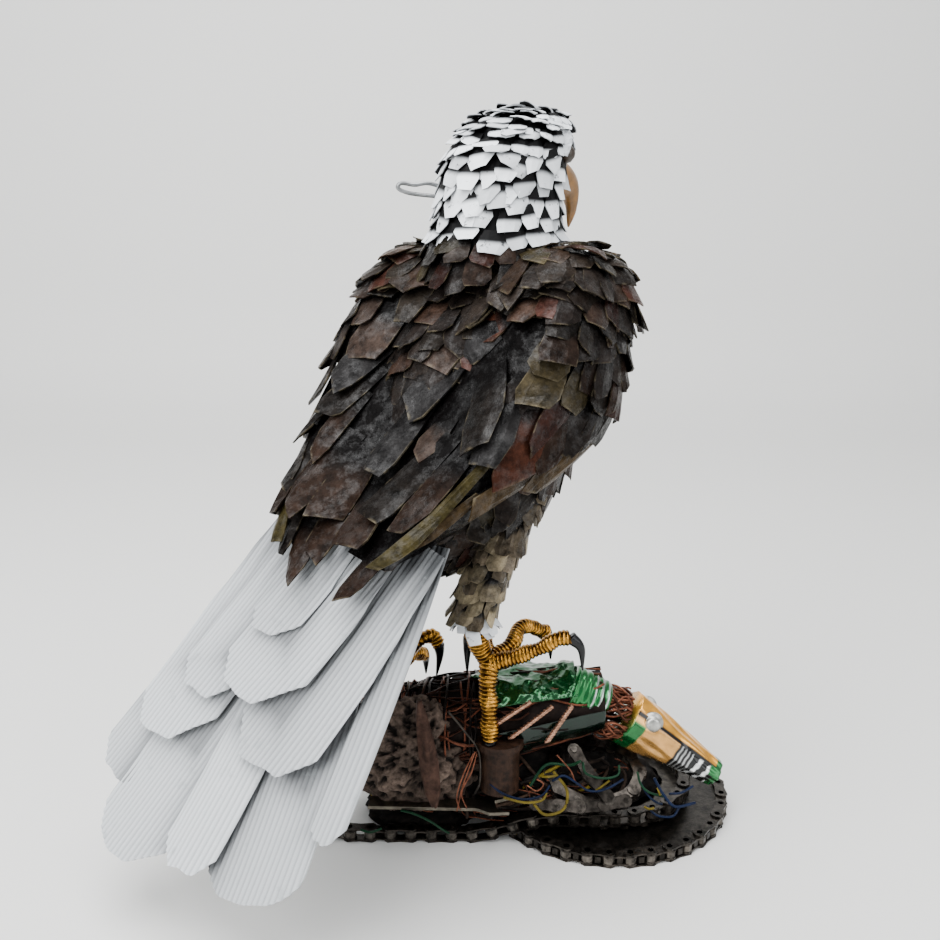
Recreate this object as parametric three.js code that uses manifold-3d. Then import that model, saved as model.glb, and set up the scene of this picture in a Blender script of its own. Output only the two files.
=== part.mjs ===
// Bald eagle sculpture made of scrap: sheet-metal feathers, wire-bound feet and corrugated tail plates.
// It stands on a fish of drink-can sheet over a plinth of bicycle chain, chainrings and scrap.
// Millimetres, +Z up. +X runs along the plinth towards the fish's head. The eagle looks to +Y and +X.
import * as THREE from "three";
import { mergeVertices } from "three/addons/utils/BufferGeometryUtils.js";
import Module from "manifold-3d";

const wasm = await Module();
wasm.setup();

const vec = (x, y, z) => new THREE.Vector3(x, y, z);

// Driving sizes of the whole
const GAP = 0.4; // clearance that touching pieces keep
const HEADING = THREE.MathUtils.degToRad(38); // eagle's heading, turned from +Y towards +X
const FEET = vec(-17, 0, 0); // middle of the stance
const ANKLE = vec(29, -5, 0); // right ankle, seen from above
// Where each foot's toes part: the left foot grips the fish lower down, nearer its tail
const FOOT_CENTRES = { right: vec(37, 0, 116), left: vec(-46, 2, 88) };

// Bicycle chain: a half-inch pitch sets the scale of the plinth
const PITCH = 12.7;
const LINK_HALF_HEIGHT = 4.3;
const LINK_WAIST = 3.3;
const CHAIN_WIDTH = 8.6;

// Chainrings
const RING_TEETH = 38;
const RING_CENTRE = vec(89, 24, 0);
const SPROCKET_TEETH = 26;
const ringRadius = (teeth) => PITCH / 2 / Math.sin(Math.PI / teeth);

// Eagle's own axes: x to its right, y forward, z up
const STAND = new THREE.Matrix4().makeRotationZ(-HEADING).setPosition(FEET);

// Torso: an egg, leaning forward
const TORSO_CENTRE = vec(0, 35, 262);
const TORSO_LEAN = THREE.MathUtils.degToRad(66);
const TORSO_HALF = { width: 64, length: 100, depth: 56 };
const TORSO_SHOULDERS = 0.1; // how much wider the top is

// Wing: stations from the shoulder to the tip; in each, points from the spine round to the leading edge
const WING_STATIONS = [
  [vec(14, 48, 352), vec(44, 46, 362), vec(54, 74, 360), vec(46, 98, 348)],
  [vec(12, 36, 352), vec(64, 32, 354), vec(77, 72, 345), vec(63, 104, 333)],
  [vec(10, 8, 322), vec(75, 3, 321), vec(88, 54, 302), vec(70, 92, 283)],
  [vec(9, -24, 276), vec(69, -28, 277), vec(88, 24, 260), vec(75, 56, 242)],
  [vec(8, -64, 226), vec(51, -75, 222), vec(62, -33, 220), vec(53, -9, 218)],
  [vec(7, -102, 184), vec(27, -104, 182), vec(32, -88, 186), vec(28, -74, 190)],
];
const WING_THICKNESS = 7;
const RIGHT_OVERLAP = 16; // how far the right wing's edge reaches over the spine
// Rows of wing feathers: place along the wing, count, length, width
const WING_ROWS = [
  { s: 0.9, count: 2, length: 44, width: 22 },
  { s: 0.74, count: 3, length: 64, width: 28 },
  { s: 0.57, count: 3, length: 62, width: 42 },
  { s: 0.41, count: 4, length: 50, width: 41 },
  { s: 0.27, count: 4, length: 42, width: 38 },
];

// Rows of body feathers: latitude on the torso, count, first and last angle from the breast, length, width
const BODY_ROWS = [
  { lat: 0.2, count: 3, from: -0.7, to: 0.7, length: 44, width: 34 },
  { lat: 0.62, count: 4, from: -1.0, to: 1.0, length: 40, width: 32 },
  { lat: 1.0, count: 4, from: -1.3, to: 1.3, length: 34, width: 26 },
];

// Thigh: a feathered leg from the belly to above the ankle
const THIGH_TOP = vec(31, 27, 222);
const THIGH_MIDDLE = vec(33, 9, 186);
const THIGH_FOOT = vec(29, -5, 151);
const THIGH_RADIUS = [22, 16, 12.5];
const ANKLE_TOP = 150;
const ANKLE_FOOT = 133;
const ANKLE_RADIUS = { inner: 9, top: 11.5, foot: 14.5 };

// Head and neck: rings of the hood, from its hem up
const HEAD_RINGS = [
  { z: 354, y: 52, long: 42, wide: 40 },
  { z: 366, y: 53, long: 39.5, wide: 38 },
  { z: 390, y: 57, long: 39, wide: 35 },
  { z: 410, y: 65, long: 42, wide: 34 },
  { z: 427, y: 73, long: 41, wide: 30 },
  { z: 438, y: 79, long: 31, wide: 21 },
];
const HEAD_ROWS = [
  { v: 0.18, count: 6, length: 28, width: 34 },
  { v: 0.45, count: 6, length: 31, width: 31 },
  { v: 0.72, count: 5, length: 27, width: 31 },
];
const BEAK_ROOT = vec(0, 100, 399);
const BEAK_BEND = vec(0, 128, 402);
const BEAK_TIP = vec(0, 134, 369);
const EYE = { at: vec(26, 86, 412), radius: 6 };
const LOOP_ROOT = vec(-34, 42, 390);
const LOOP_REACH = vec(-20, -16, 3);
const LOOP_WIRE = 0.9;

// Tail: flat plates of corrugated sheet in one leaning plane, layered like shingles
const TAIL_ROOT = vec(0, -58, 201);
const TAIL_SLOPE = Math.atan2(153, 115);
const TAIL_SHEET = 1.8;
const TAIL_LAYER = 2.6;
// Root and tip across and down the tail, width, layer from the underside
const TAIL_FEATHERS = [
  { root: [-56, 20], tip: [-108, 171], width: 50, layer: 0 },
  { root: [-32, 40], tip: [-78, 205], width: 62, layer: 1 },
  { root: [2, 50], tip: [16, 195], width: 68, layer: 0 },
  { root: [-12, 50], tip: [-26, 195], width: 38, layer: 2 },
  { root: [47, -6], tip: [52, 152], width: 20, layer: 1 },
  { root: [-42, 0], tip: [-82, 140], width: 60, layer: 3 },
  { root: [36, -8], tip: [-4, 133], width: 62, layer: 3 },
  { root: [-26, -6], tip: [-66, 111], width: 44, layer: 4 },
  { root: [17, -12], tip: [-29, 104], width: 60, layer: 5 },
  { root: [2, -20], tip: [-31, 69], width: 36, layer: 6 },
];

// Foot: a shank and four toes, bound with wire. Toes as offsets from where they part
const SHANK_RADIUS = [7, 6, 6];
const SHANK_BEND = 0.25; // how far the shank's bend has moved from the ankle towards the foot
const TOE_RADIUS = [6, 4.6, 4.2, 4.4];
const HIND_TOE_RADIUS = [6, 5.4, 5.2, 5];
const RIGHT_TOES = {
  inner: [vec(-14, 12, 8), vec(-25, 19, 9), vec(-31, 19, 2)],
  middle: [vec(3, 18, 8), vec(0, 33, 13), vec(5, 52, 4)],
  outer: [vec(21, 13, 9), vec(33, 20, 17), vec(40, 25, 19)],
  hind: [vec(2, -5, -8), vec(6, -9, -26), vec(8, -11, -43)],
};
const RIGHT_CLAWS = {
  inner: [vec(-32, 18.5, -7), vec(-31, 17, -22)],
  middle: [vec(6, 55, -4), vec(7, 55, -15)],
  outer: [vec(45, 29, 12), vec(46, 30, -2)],
  hind: [vec(8, -7, -49), vec(8, 0, -53)],
};
// The left foot is mirrored, but its inner toe arches high and its middle toe lies low
const LEFT_TOES = {
  ...RIGHT_TOES,
  inner: [vec(-18, 7, 21), vec(-22.5, 15, 24), vec(-26, 18, 18)],
  middle: [vec(4, 16, -2), vec(6, 30, -2), vec(9, 44, -8)],
};
const LEFT_CLAWS = {
  ...RIGHT_CLAWS,
  inner: [vec(-26.5, 18.5, 10), vec(-25, 17, -4)],
  middle: [vec(10, 47, -14), vec(10, 47, -24)],
};
const toesOf = (side) => (side > 0 ? RIGHT_TOES : LEFT_TOES);
const clawsOf = (side) => (side > 0 ? RIGHT_CLAWS : LEFT_CLAWS);
const CLAW_RADIUS = [3.2, 2.5, 0.7];

// Fish: a spindle of can sheet along +X, with a drooping head
const FISH_TAIL_END = vec(-88, 10, 48);
const FISH_SHOULDER = vec(82, -3, 84);
const FISH_HALF = { height: 27, width: 32 };
const COLLAR_FROM = vec(62, -9, 94);
const COLLAR_TO = vec(84, -9, 85);
const COLLAR_RADIUS = { from: 14, to: 11 };
const GILL_FROM = vec(84, -4, 76);
const GILL_TO = vec(97, -4, 72);
const GILL_RADIUS = { from: 14, to: 16 };
const HEAD_TO = vec(155, -4, 33);
const FISH_HEAD_HALF = { backHeight: 18, backWidth: 17, noseHeight: 8, noseWidth: 10 };
const FISH_EYE = { along: 0.26, radius: 6, rise: 11, aside: 11 };

// Plinth
const LONG_CHAIN_PITCHES = 50;
const SIDE_LOOP_CENTRE = vec(-70, 19, 0);
const SIDE_LOOP_RADIUS = 46;
const LONG_CHAIN_LIFT = 11.4; // how far the long chain climbs over the ring
const DRAPED_PITCHES = 12;
const DRAPED_CENTRE = vec(78, -13, 37);
const DRAPED_HALF = { x: 28, slope: 20.3 };
const DRAPED_TILT = THREE.MathUtils.degToRad(34);
const HEAP_CENTRE = vec(16, 20, 0);
const HEAP_HALF = { x: 84, y: 42, z: 58 };
const RING_LOBE_HALF = { x: 40, y: 36, z: 26 }; // the low part of the heap that fills the rings' middle
const FLOOR_LOBE_CENTRE = vec(-30, 8, 0); // the low part of the heap inside the long chain, down to the floor
const FLOOR_LOBE_HALF = { x: 38, y: 32, z: 24 };
const FLOOR_CLEARANCE = 1;
const FLOOR_SIZE = 400;
const SLAG_CENTRE = vec(-34, -12, 50);
const SLAG_HALF = { x: 42, y: 24, z: 40 };
const SPOOL_AT = vec(18, -28, 37);
const SPOOL = { core: 12, flange: 14.5, height: 33, lip: 5 };
const SPANNER_FROM = vec(-62, -28, 25);
const SPANNER_TO = vec(24, -31, 25);
const SPANNER = { width: 11, jaw: 20, thickness: 2 };
const STRIP_FROM = vec(-30, -42, 98);
const STRIP_TO = vec(-21, -43, 32);
const STRIP = { width: 10, thickness: 1.6 };

// Copper fin rods and bits of insulated wire, by the points they pass
const FIN_ROD_RADIUS = 1.6;
const FIN_RODS = [
  [vec(15, -31, 80), vec(36, -27, 93)],
  [vec(24, -34, 73), vec(49, -29, 91)],
  [vec(46, -33, 70), vec(61, -28, 91)],
];
const WIRE_RADIUS = 1.1;
const WIRES = {
  yellow: [vec(38, -42, 34), vec(45, -44, 28), vec(56, -43, 31), vec(58, -40, 42), vec(50, -36, 52)],
  green: [vec(36, -36, 42), vec(46, -32, 54), vec(60, -34, 55), vec(66, -38, 60)],
  blue: [vec(112, -30, 44), vec(118, -33, 34), vec(125, -34, 27), vec(138, -30, 27)],
};

// Materials in the colours of the object
const finish = (color, roughness, metalness) => new THREE.MeshStandardMaterial({ color, roughness, metalness });
const DARK_FEATHER = finish(0x3a2f2a, 0.5, 0.6);
const WHITE_FEATHER = finish(0xe6e9ec, 0.6, 0.1);
const WHITE_SHEET = finish(0xdde0e3, 0.6, 0.1);
const GOLD_WIRE = finish(0xb07a2a, 0.35, 0.9);
const BLACK_CLAW = finish(0x17171a, 0.35, 0.2);
const HORN = finish(0xb07f3a, 0.4, 0.1);
const STEEL = finish(0x3c3935, 0.45, 0.9);
const BARE_STEEL = finish(0x9a968c, 0.35, 1);
const GREEN_CAN = finish(0x14602f, 0.25, 0.8);
const AMBER_CAN = finish(0xc07c22, 0.3, 0.8);
const COPPER = finish(0x7a4030, 0.35, 0.9);
const SLAG = finish(0x2b2724, 0.9, 0);
const RUST = finish(0x4a372f, 0.8, 0.3);
const WIRE_COVERS = {
  yellow: finish(0xb8a030, 0.5, 0),
  green: finish(0x2d6b3a, 0.5, 0),
  blue: finish(0x2c4f86, 0.5, 0),
};

// Geometry helpers

// A geometry whose points are moved by a function, with its shared points merged.
function mapped(geometry, move) {
  const bare = new THREE.BufferGeometry();
  bare.setAttribute("position", geometry.getAttribute("position").clone());
  bare.setIndex(geometry.index);
  const points = bare.getAttribute("position");
  const point = vec(0, 0, 0);
  for (let i = 0; i < points.count; i++) {
    const moved = move(point.fromBufferAttribute(points, i).clone());
    points.setXYZ(i, moved.x, moved.y, moved.z);
  }
  return mergeVertices(bare, 1e-3);
}

// A closed geometry as a solid for joining and cutting, with its faces turned out.
function solidOf(geometry) {
  const bare = geometry.clone();
  bare.deleteAttribute("normal");
  bare.deleteAttribute("uv");
  const merged = mergeVertices(bare, 1e-3);
  const vertProperties = new Float32Array(merged.getAttribute("position").array);
  const triVerts = new Uint32Array(merged.index.array);
  const build = () => new wasm.Manifold(new wasm.Mesh({ numProp: 3, vertProperties, triVerts }));
  const made = build();
  if (made.volume() >= 0) return made;
  for (let i = 0; i < triVerts.length; i += 3) triVerts.subarray(i + 1, i + 3).reverse();
  return build();
}

const joined = (solids) => solids.reduce((all, one) => all.add(one));
const volumeOf = (solid) => solid.volume();

// The largest of a solid's bodies: a cut can leave slivers behind.
function largest(solid) {
  return solid.decompose().sort((a, b) => volumeOf(b) - volumeOf(a))[0];
}

// A solid as a named mesh.
function piece(name, solid, material) {
  const made = solid.getMesh();
  const geometry = new THREE.BufferGeometry();
  geometry.setAttribute("position", new THREE.BufferAttribute(made.vertProperties, 3));
  geometry.setIndex(new THREE.BufferAttribute(made.triVerts, 1));
  geometry.computeVertexNormals();
  const mesh = new THREE.Mesh(geometry, material);
  mesh.name = name;
  return mesh;
}

// A value that runs through a list of stops as t goes from 0 to 1.
function along(stops, t) {
  const place = Math.min(Math.max(t, 0), 1) * (stops.length - 1);
  const i = Math.min(Math.floor(place), stops.length - 2);
  return THREE.MathUtils.lerp(stops[i], stops[i + 1], place - i);
}

// A closed tube along a smooth curve through points, whose radius runs through a list of stops.
function tube(points, radii, sides, steps, margin = 0) {
  const curve = new THREE.CatmullRomCurve3(points);
  const frames = curve.computeFrenetFrames(steps);
  return mapped(new THREE.CylinderGeometry(1, 1, 1, sides, steps), (p) => {
    const t = 0.5 - p.y;
    const i = Math.round(t * steps);
    const radius = along(radii, t) + margin;
    const end = (i === steps) - (i === 0);
    return curve
      .getPointAt(t)
      .addScaledVector(frames.normals[i], p.x * radius)
      .addScaledVector(frames.binormals[i], p.z * radius)
      .addScaledVector(frames.tangents[i], end * margin);
  });
}

// An ellipsoid with its poles on Z.
function ellipsoid(centre, half, around, rings, margin = 0, shape = () => 1) {
  return mapped(new THREE.SphereGeometry(1, around, rings), (p) => {
    const swell = shape(p);
    return vec(
      centre.x + p.x * (half.x + margin) * swell,
      centre.y - p.z * (half.y + margin) * swell,
      centre.z + p.y * (half.z + margin) * swell,
    );
  });
}

// The frame of a surface: its point, the way feathers lie and the outward normal.
const STEP = 1e-3;
function frameOn(surface, u, v) {
  const at = surface(u, v);
  const lie = surface(u, v + STEP).sub(at).normalize();
  const across = surface(u + STEP, v).sub(at).normalize();
  const normal = across.clone().cross(lie).normalize();
  return { at, lie, normal };
}

// A feather cut from sheet: narrower at the root, and clipped at both corners of its tip.
const FEATHER_ROOT = 0.75;
const FEATHER_TIP = 0.5;
const FEATHER_CLIP = 0.28; // the clipped corner's length, as a share of the width
function featherShape(width, length) {
  const half = width / 2;
  const shoulder = length - width * FEATHER_CLIP;
  return new THREE.Shape([
    new THREE.Vector2(-half * FEATHER_ROOT, 0),
    new THREE.Vector2(half * FEATHER_ROOT, 0),
    new THREE.Vector2(half, shoulder),
    new THREE.Vector2(half * FEATHER_TIP, length),
    new THREE.Vector2(-half * FEATHER_TIP, length),
    new THREE.Vector2(-half, shoulder),
  ]);
}

// A feather laid on a surface of some bend radius: its root is sunk, and its tip stands off by the lift angle.
const FEATHER_SHEET = 2.2;
const FEATHER_SINK = 2.4;
function featherOn({ at, lie, normal }, size, lift, margin, bend = Infinity) {
  const width = size.width + 2 * margin;
  const length = size.length + 2 * margin;
  const across = lie.clone().cross(normal);
  const way = lie.clone().applyAxisAngle(across, lift);
  const up = across.clone().cross(way);
  const sink = FEATHER_SINK + margin + size.length ** 2 / (8 * bend);
  const root = at.clone().addScaledVector(lie, -length / 2).addScaledVector(normal, -sink);
  const geometry = new THREE.ExtrudeGeometry(featherShape(width, length), {
    depth: FEATHER_SHEET + 2 * margin,
    bevelEnabled: false,
  });
  geometry.applyMatrix4(new THREE.Matrix4().makeBasis(across, way, up).setPosition(root));
  return solidOf(geometry);
}

// Eagle's body and wings, in the eagle's own axes

const TORSO_AXIS = vec(0, Math.cos(TORSO_LEAN), Math.sin(TORSO_LEAN));
const TORSO_FRONT = vec(0, Math.sin(TORSO_LEAN), -Math.cos(TORSO_LEAN));
const torsoPoint = (right, up, front, margin = 0) =>
  TORSO_CENTRE.clone()
    .add(vec(right * (TORSO_HALF.width + margin) * (1 + TORSO_SHOULDERS * up), 0, 0))
    .addScaledVector(TORSO_AXIS, up * (TORSO_HALF.length + margin))
    .addScaledVector(TORSO_FRONT, front * (TORSO_HALF.depth + margin));

// The torso's surface by angle from the breast and by latitude, which falls as v grows.
const torsoSurface = (angle, v) =>
  torsoPoint(Math.cos(-v) * Math.sin(angle), Math.sin(-v), Math.cos(-v) * Math.cos(angle));

function torso(margin) {
  return solidOf(mapped(new THREE.SphereGeometry(1, 14, 9), (p) => torsoPoint(p.x, p.y, p.z, margin)));
}

const mirrored = (point, side) => vec(point.x * side, point.y, point.z);

function thigh(side, margin) {
  const points = [THIGH_TOP, THIGH_MIDDLE, THIGH_FOOT].map((p) => mirrored(p, side));
  return solidOf(tube(points, THIGH_RADIUS, 9, 4, margin));
}

const BODY_LIFT = 0.16;
function bodyFeathers(margin) {
  return BODY_ROWS.flatMap((row) =>
    Array.from({ length: row.count }, (_, i) => {
      const angle = THREE.MathUtils.lerp(row.from, row.to, i / (row.count - 1));
      return featherOn(frameOn(torsoSurface, angle, -row.lat), row, BODY_LIFT, margin, TORSO_HALF.depth);
    }),
  );
}

// A wing's surface: c runs from the spine to the leading edge, s from the shoulder to the tip.
const WING_LINES = WING_STATIONS[0].map(
  (_, i) => new THREE.CatmullRomCurve3(WING_STATIONS.map((station) => station[i])),
);
function wingSurface(side) {
  return (c, s) => {
    const station = WING_LINES.map((line) => line.getPoint(s));
    station[0].x -= side > 0 ? RIGHT_OVERLAP * s : 0;
    return mirrored(new THREE.CatmullRomCurve3(station).getPoint(c), side);
  };
}

// The frame of a wing's surface, with its normal out from the body.
function wingFrame(surface, side, c, s) {
  const frame = frameOn(surface, c, s);
  frame.normal.multiplyScalar(-side);
  return frame;
}

const WING_END = 0.998; // keeps the frame's small steps on the surface
function wingShell(side, margin) {
  const surface = wingSurface(side);
  return solidOf(
    mapped(new THREE.BoxGeometry(1, 1, 1, 5, 7, 1), (p) => {
      const { at, lie, normal } = wingFrame(surface, side, (p.x + 0.5) * WING_END, (0.5 - p.y) * WING_END);
      const across = normal.clone().cross(lie).multiplyScalar(side);
      const depth = (p.z - 0.5) * WING_THICKNESS + 2 * p.z * margin;
      return at
        .addScaledVector(normal, depth)
        .addScaledVector(lie, -2 * p.y * margin)
        .addScaledVector(across, 2 * p.x * margin);
    }),
  );
}

const WING_LIFT = 0.14;
const WING_MARGIN = 0.5; // share of a feather's step kept at each edge of a row
function wingFeathers(side, margin) {
  const surface = wingSurface(side);
  return WING_ROWS.flatMap((row) =>
    Array.from({ length: row.count }, (_, i) => {
      const frame = wingFrame(surface, side, (i + WING_MARGIN) / row.count, row.s);
      return featherOn(frame, row, WING_LIFT, margin);
    }),
  );
}

// Head

const ringStops = (key) => HEAD_RINGS.map((ring) => ring[key]);
function headPoint(angle, v, margin = 0) {
  const [z, y, long, wide] = ["z", "y", "long", "wide"].map((key) => along(ringStops(key), v));
  return vec(Math.sin(angle) * (wide + margin), y + Math.cos(angle) * (long + margin), z);
}

function hood(margin) {
  const rings = HEAD_RINGS.length - 1;
  return solidOf(
    mapped(new THREE.CylinderGeometry(1, 1, 1, 10, rings), (p) => {
      const level = headPoint(0, p.y + 0.5).z;
      if (p.x === 0 && p.z === 0) return vec(0, along(ringStops("y"), p.y + 0.5), level);
      return headPoint(Math.atan2(p.x, p.z), p.y + 0.5, margin);
    }),
  );
}

const HEAD_LIFT = 0.2;
const FACE_HALF_ANGLE = 0.55; // bare of rows, for the beak
function headFeathers(margin) {
  const surface = (angle, v) => headPoint(angle, 1 - v);
  return HEAD_ROWS.flatMap((row, level) =>
    Array.from({ length: row.count }, (_, i) => {
      const share = (i + (level % 2 ? 0.75 : 0.25)) / row.count;
      const angle = FACE_HALF_ANGLE + share * 2 * (Math.PI - FACE_HALF_ANGLE);
      return featherOn(frameOn(surface, angle, 1 - row.v), row, HEAD_LIFT, margin, HEAD_RINGS[2].wide);
    }),
  );
}

const BEAK_RADII = [13, 11, 7.5, 1.2];
const BEAK_SQUEEZE = 0.72; // narrower than it is deep
function beak(margin) {
  const bend = BEAK_BEND.clone().lerp(BEAK_TIP, 0.45).add(vec(0, 9, 0));
  const hook = tube([BEAK_ROOT, BEAK_BEND, bend, BEAK_TIP], BEAK_RADII, 8, 6, margin);
  return solidOf(mapped(hook, (p) => vec(p.x * BEAK_SQUEEZE, p.y, p.z)));
}

function eye(side, margin) {
  const { at, radius } = EYE;
  return solidOf(new THREE.SphereGeometry(radius + margin, 6, 5).translate(at.x * side, at.y, at.z));
}

// A hairpin of wire standing out from the side of the neck.
function wireLoop(margin) {
  const reach = LOOP_ROOT.clone().add(LOOP_REACH);
  const spread = vec(0, 0, 3);
  const points = [
    LOOP_ROOT.clone().sub(spread),
    reach.clone().sub(spread),
    reach.clone().addScaledVector(LOOP_REACH, 0.18),
    reach.clone().lerp(LOOP_ROOT, 0.25).add(spread),
    LOOP_ROOT.clone().add(spread),
  ];
  return solidOf(tube(points, [LOOP_WIRE, LOOP_WIRE], 6, 12, margin));
}

// Tail

const TAIL_WAY = vec(0, -Math.cos(TAIL_SLOPE), -Math.sin(TAIL_SLOPE));
const TAIL_UP = vec(0, -Math.sin(TAIL_SLOPE), Math.cos(TAIL_SLOPE));
const TAIL_LAID = new THREE.Matrix4().makeBasis(vec(1, 0, 0), TAIL_WAY, TAIL_UP.clone().negate());

function tailFeather({ root, tip, width, layer }, margin) {
  const from = new THREE.Vector2(...root);
  const to = new THREE.Vector2(...tip);
  const length = from.distanceTo(to);
  const turn = Math.atan2(from.x - to.x, to.y - from.y);
  const geometry = new THREE.ExtrudeGeometry(featherShape(width + 2 * margin, length), {
    depth: TAIL_SHEET + 2 * margin,
    bevelEnabled: false,
  });
  geometry.rotateZ(turn).translate(from.x, from.y, -layer * TAIL_LAYER - margin);
  geometry.applyMatrix4(TAIL_LAID).translate(TAIL_ROOT.x, TAIL_ROOT.y, TAIL_ROOT.z);
  return solidOf(geometry);
}

// Feet

const footCentre = (side) => (side > 0 ? FOOT_CENTRES.right : FOOT_CENTRES.left).clone();
const placed = (offset, side) => footCentre(side).add(mirrored(offset, side));

function foot(side, margin) {
  const ankle = mirrored(vec(ANKLE.x, ANKLE.y, THIGH_FOOT.z - GAP), side);
  const bend = mirrored(vec(ANKLE.x, ANKLE.y, ANKLE_FOOT), side).lerp(footCentre(side), SHANK_BEND);
  const shank = [ankle, bend, footCentre(side)];
  const toes = Object.entries(toesOf(side)).map(([toe, points]) => {
    const radius = toe === "hind" ? HIND_TOE_RADIUS : TOE_RADIUS;
    return solidOf(tube([footCentre(side), ...points.map((p) => placed(p, side))], radius, 6, 5, margin));
  });
  return joined([solidOf(tube(shank, SHANK_RADIUS, 8, 3, margin)), ...toes]);
}

function claw(side, toe, margin) {
  const end = placed(toesOf(side)[toe].at(-1), side);
  const points = clawsOf(side)[toe].map((p) => placed(p, side));
  const start = end.clone().add(points[0].clone().sub(end).setLength(2 * GAP));
  return solidOf(tube([start, ...points], CLAW_RADIUS, 6, 4, margin));
}

function ankleFeathers(side, margin) {
  const { inner, top, foot: hem } = ANKLE_RADIUS;
  const profile = [
    new THREE.Vector2(inner - margin, ANKLE_FOOT - margin),
    new THREE.Vector2(hem + margin, ANKLE_FOOT - margin),
    new THREE.Vector2(top + margin, ANKLE_TOP + margin),
    new THREE.Vector2(inner - margin, ANKLE_TOP + margin),
    new THREE.Vector2(inner - margin, ANKLE_FOOT - margin),
  ];
  const ring = new THREE.LatheGeometry(profile, 10).rotateX(Math.PI / 2);
  return solidOf(ring.translate(ANKLE.x * side, ANKLE.y, 0));
}

// Fish

// A tapered body between two points: an ellipse that runs from one half size to another.
function taper(from, to, start, end, sides, margin = 0) {
  const axis = to.clone().sub(from).normalize();
  const across = vec(0, 0, 1).cross(axis).normalize();
  const up = axis.clone().cross(across);
  return mapped(new THREE.CylinderGeometry(1, 1, 1, sides, 1), (p) => {
    const t = 0.5 - p.y;
    const wide = THREE.MathUtils.lerp(start.wide, end.wide, t) + margin;
    const high = THREE.MathUtils.lerp(start.high, end.high, t) + margin;
    return from
      .clone()
      .lerp(to, t)
      .addScaledVector(axis, -Math.sign(p.y) * margin)
      .addScaledVector(across, p.x * wide)
      .addScaledVector(up, p.z * high);
  });
}

const FISH_SWELL = 0.62; // how early the spindle thickens
function fishBody(margin) {
  const axis = FISH_SHOULDER.clone().sub(FISH_TAIL_END);
  return solidOf(
    mapped(new THREE.CylinderGeometry(1, 1, 1, 12, 6), (p) => {
      const t = 0.5 - p.y;
      const swell = Math.sin(Math.PI * (0.12 + 0.66 * Math.pow(t, FISH_SWELL)));
      return FISH_TAIL_END.clone()
        .addScaledVector(axis, t)
        .add(vec(0, p.x * (FISH_HALF.width * swell + margin), p.z * (FISH_HALF.height * swell + margin)));
    }),
  );
}

const round = (radius) => ({ wide: radius, high: radius });
const backOff = (from, to) => from.clone().add(to.clone().sub(from).setLength(GAP));

function fishCollar(margin) {
  const { from, to } = COLLAR_RADIUS;
  return solidOf(taper(COLLAR_FROM, COLLAR_TO, round(from), round(to), 14, margin));
}

function fishGill(margin) {
  const { from, to } = GILL_RADIUS;
  return solidOf(taper(GILL_FROM, GILL_TO, round(from), round(to), 12, margin));
}

function fishHead(margin) {
  const { backHeight, backWidth, noseHeight, noseWidth } = FISH_HEAD_HALF;
  const start = { wide: backWidth, high: backHeight };
  const end = { wide: noseWidth, high: noseHeight };
  return solidOf(taper(backOff(GILL_TO, HEAD_TO), HEAD_TO, start, end, 10, margin));
}

function fishEye(side, margin) {
  const at = GILL_TO.clone().lerp(HEAD_TO, FISH_EYE.along);
  at.y += side * FISH_EYE.aside;
  at.z += FISH_EYE.rise;
  return solidOf(new THREE.SphereGeometry(FISH_EYE.radius + margin, 8, 6).translate(at.x, at.y, at.z));
}

// Plinth

const upAxis = vec(0, 0, 1);

// A loop of chain along a closed path: its plates swell at each pin and narrow between the pins.
function chainLoop(path, pitches, up, margin) {
  const steps = pitches * 2;
  const rise = CHAIN_WIDTH / 2 + margin;
  return solidOf(
    mapped(new THREE.TorusGeometry(1, 0.1, 4, steps).rotateZ(Math.PI / steps), (p) => {
      const i = Math.floor((Math.atan2(p.y, p.x) / (2 * Math.PI) + 1) * steps) % steps;
      const corner = Math.round((Math.atan2(p.z, Math.hypot(p.x, p.y) - 1) / Math.PI) * 2 + 4) % 4;
      const side = corner < 2 ? 1 : -1;
      const level = corner % 3 ? 1 : -1;
      const at = path(i / steps);
      const tangent = path((i + 0.01) / steps).sub(at).normalize();
      const out = tangent.clone().cross(up).normalize();
      const half = (i % 2 ? LINK_WAIST : LINK_HALF_HEIGHT) + margin;
      return at.addScaledVector(out, side * half).addScaledVector(up, level * rise);
    }),
  );
}

// The chain wrapped round the large chainring, flat on the floor.
function ringChain(margin) {
  const radius = ringRadius(RING_TEETH);
  const path = (t) => {
    const angle = t * 2 * Math.PI;
    return RING_CENTRE.clone().add(vec(radius * Math.cos(angle), radius * Math.sin(angle), CHAIN_WIDTH / 2));
  };
  return chainLoop(path, RING_TEETH, upAxis, margin);
}

// The long chain: round the sprocket on top of the ring, then down to the floor round the slag.
function longChainPath() {
  const radius = ringRadius(SPROCKET_TEETH);
  const arc = (centre, size, from, to) =>
    [0, 0.25, 0.5, 0.75, 1].map((t) => {
      const angle = THREE.MathUtils.lerp(from, to, t);
      return vec(centre.x + size * Math.cos(angle), centre.y + size * Math.sin(angle), 0);
    });
  const quarter = Math.PI / 2;
  const points = [
    ...arc(RING_CENTRE, radius, -quarter, quarter),
    ...arc(SIDE_LOOP_CENTRE, SIDE_LOOP_RADIUS, quarter, 3 * quarter),
  ];
  const curve = new THREE.CatmullRomCurve3(points, true, "centripetal");
  const low = RING_CENTRE.x - ringRadius(RING_TEETH) - 14;
  const high = RING_CENTRE.x - radius * 0.7;
  return (t) => {
    const at = curve.getPointAt(((t % 1) + 1) % 1);
    at.z = CHAIN_WIDTH / 2 + LONG_CHAIN_LIFT * THREE.MathUtils.smoothstep(at.x, low, high);
    return at;
  };
}
const longChain = (margin) => chainLoop(longChainPath(), LONG_CHAIN_PITCHES, upAxis, margin);

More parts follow.
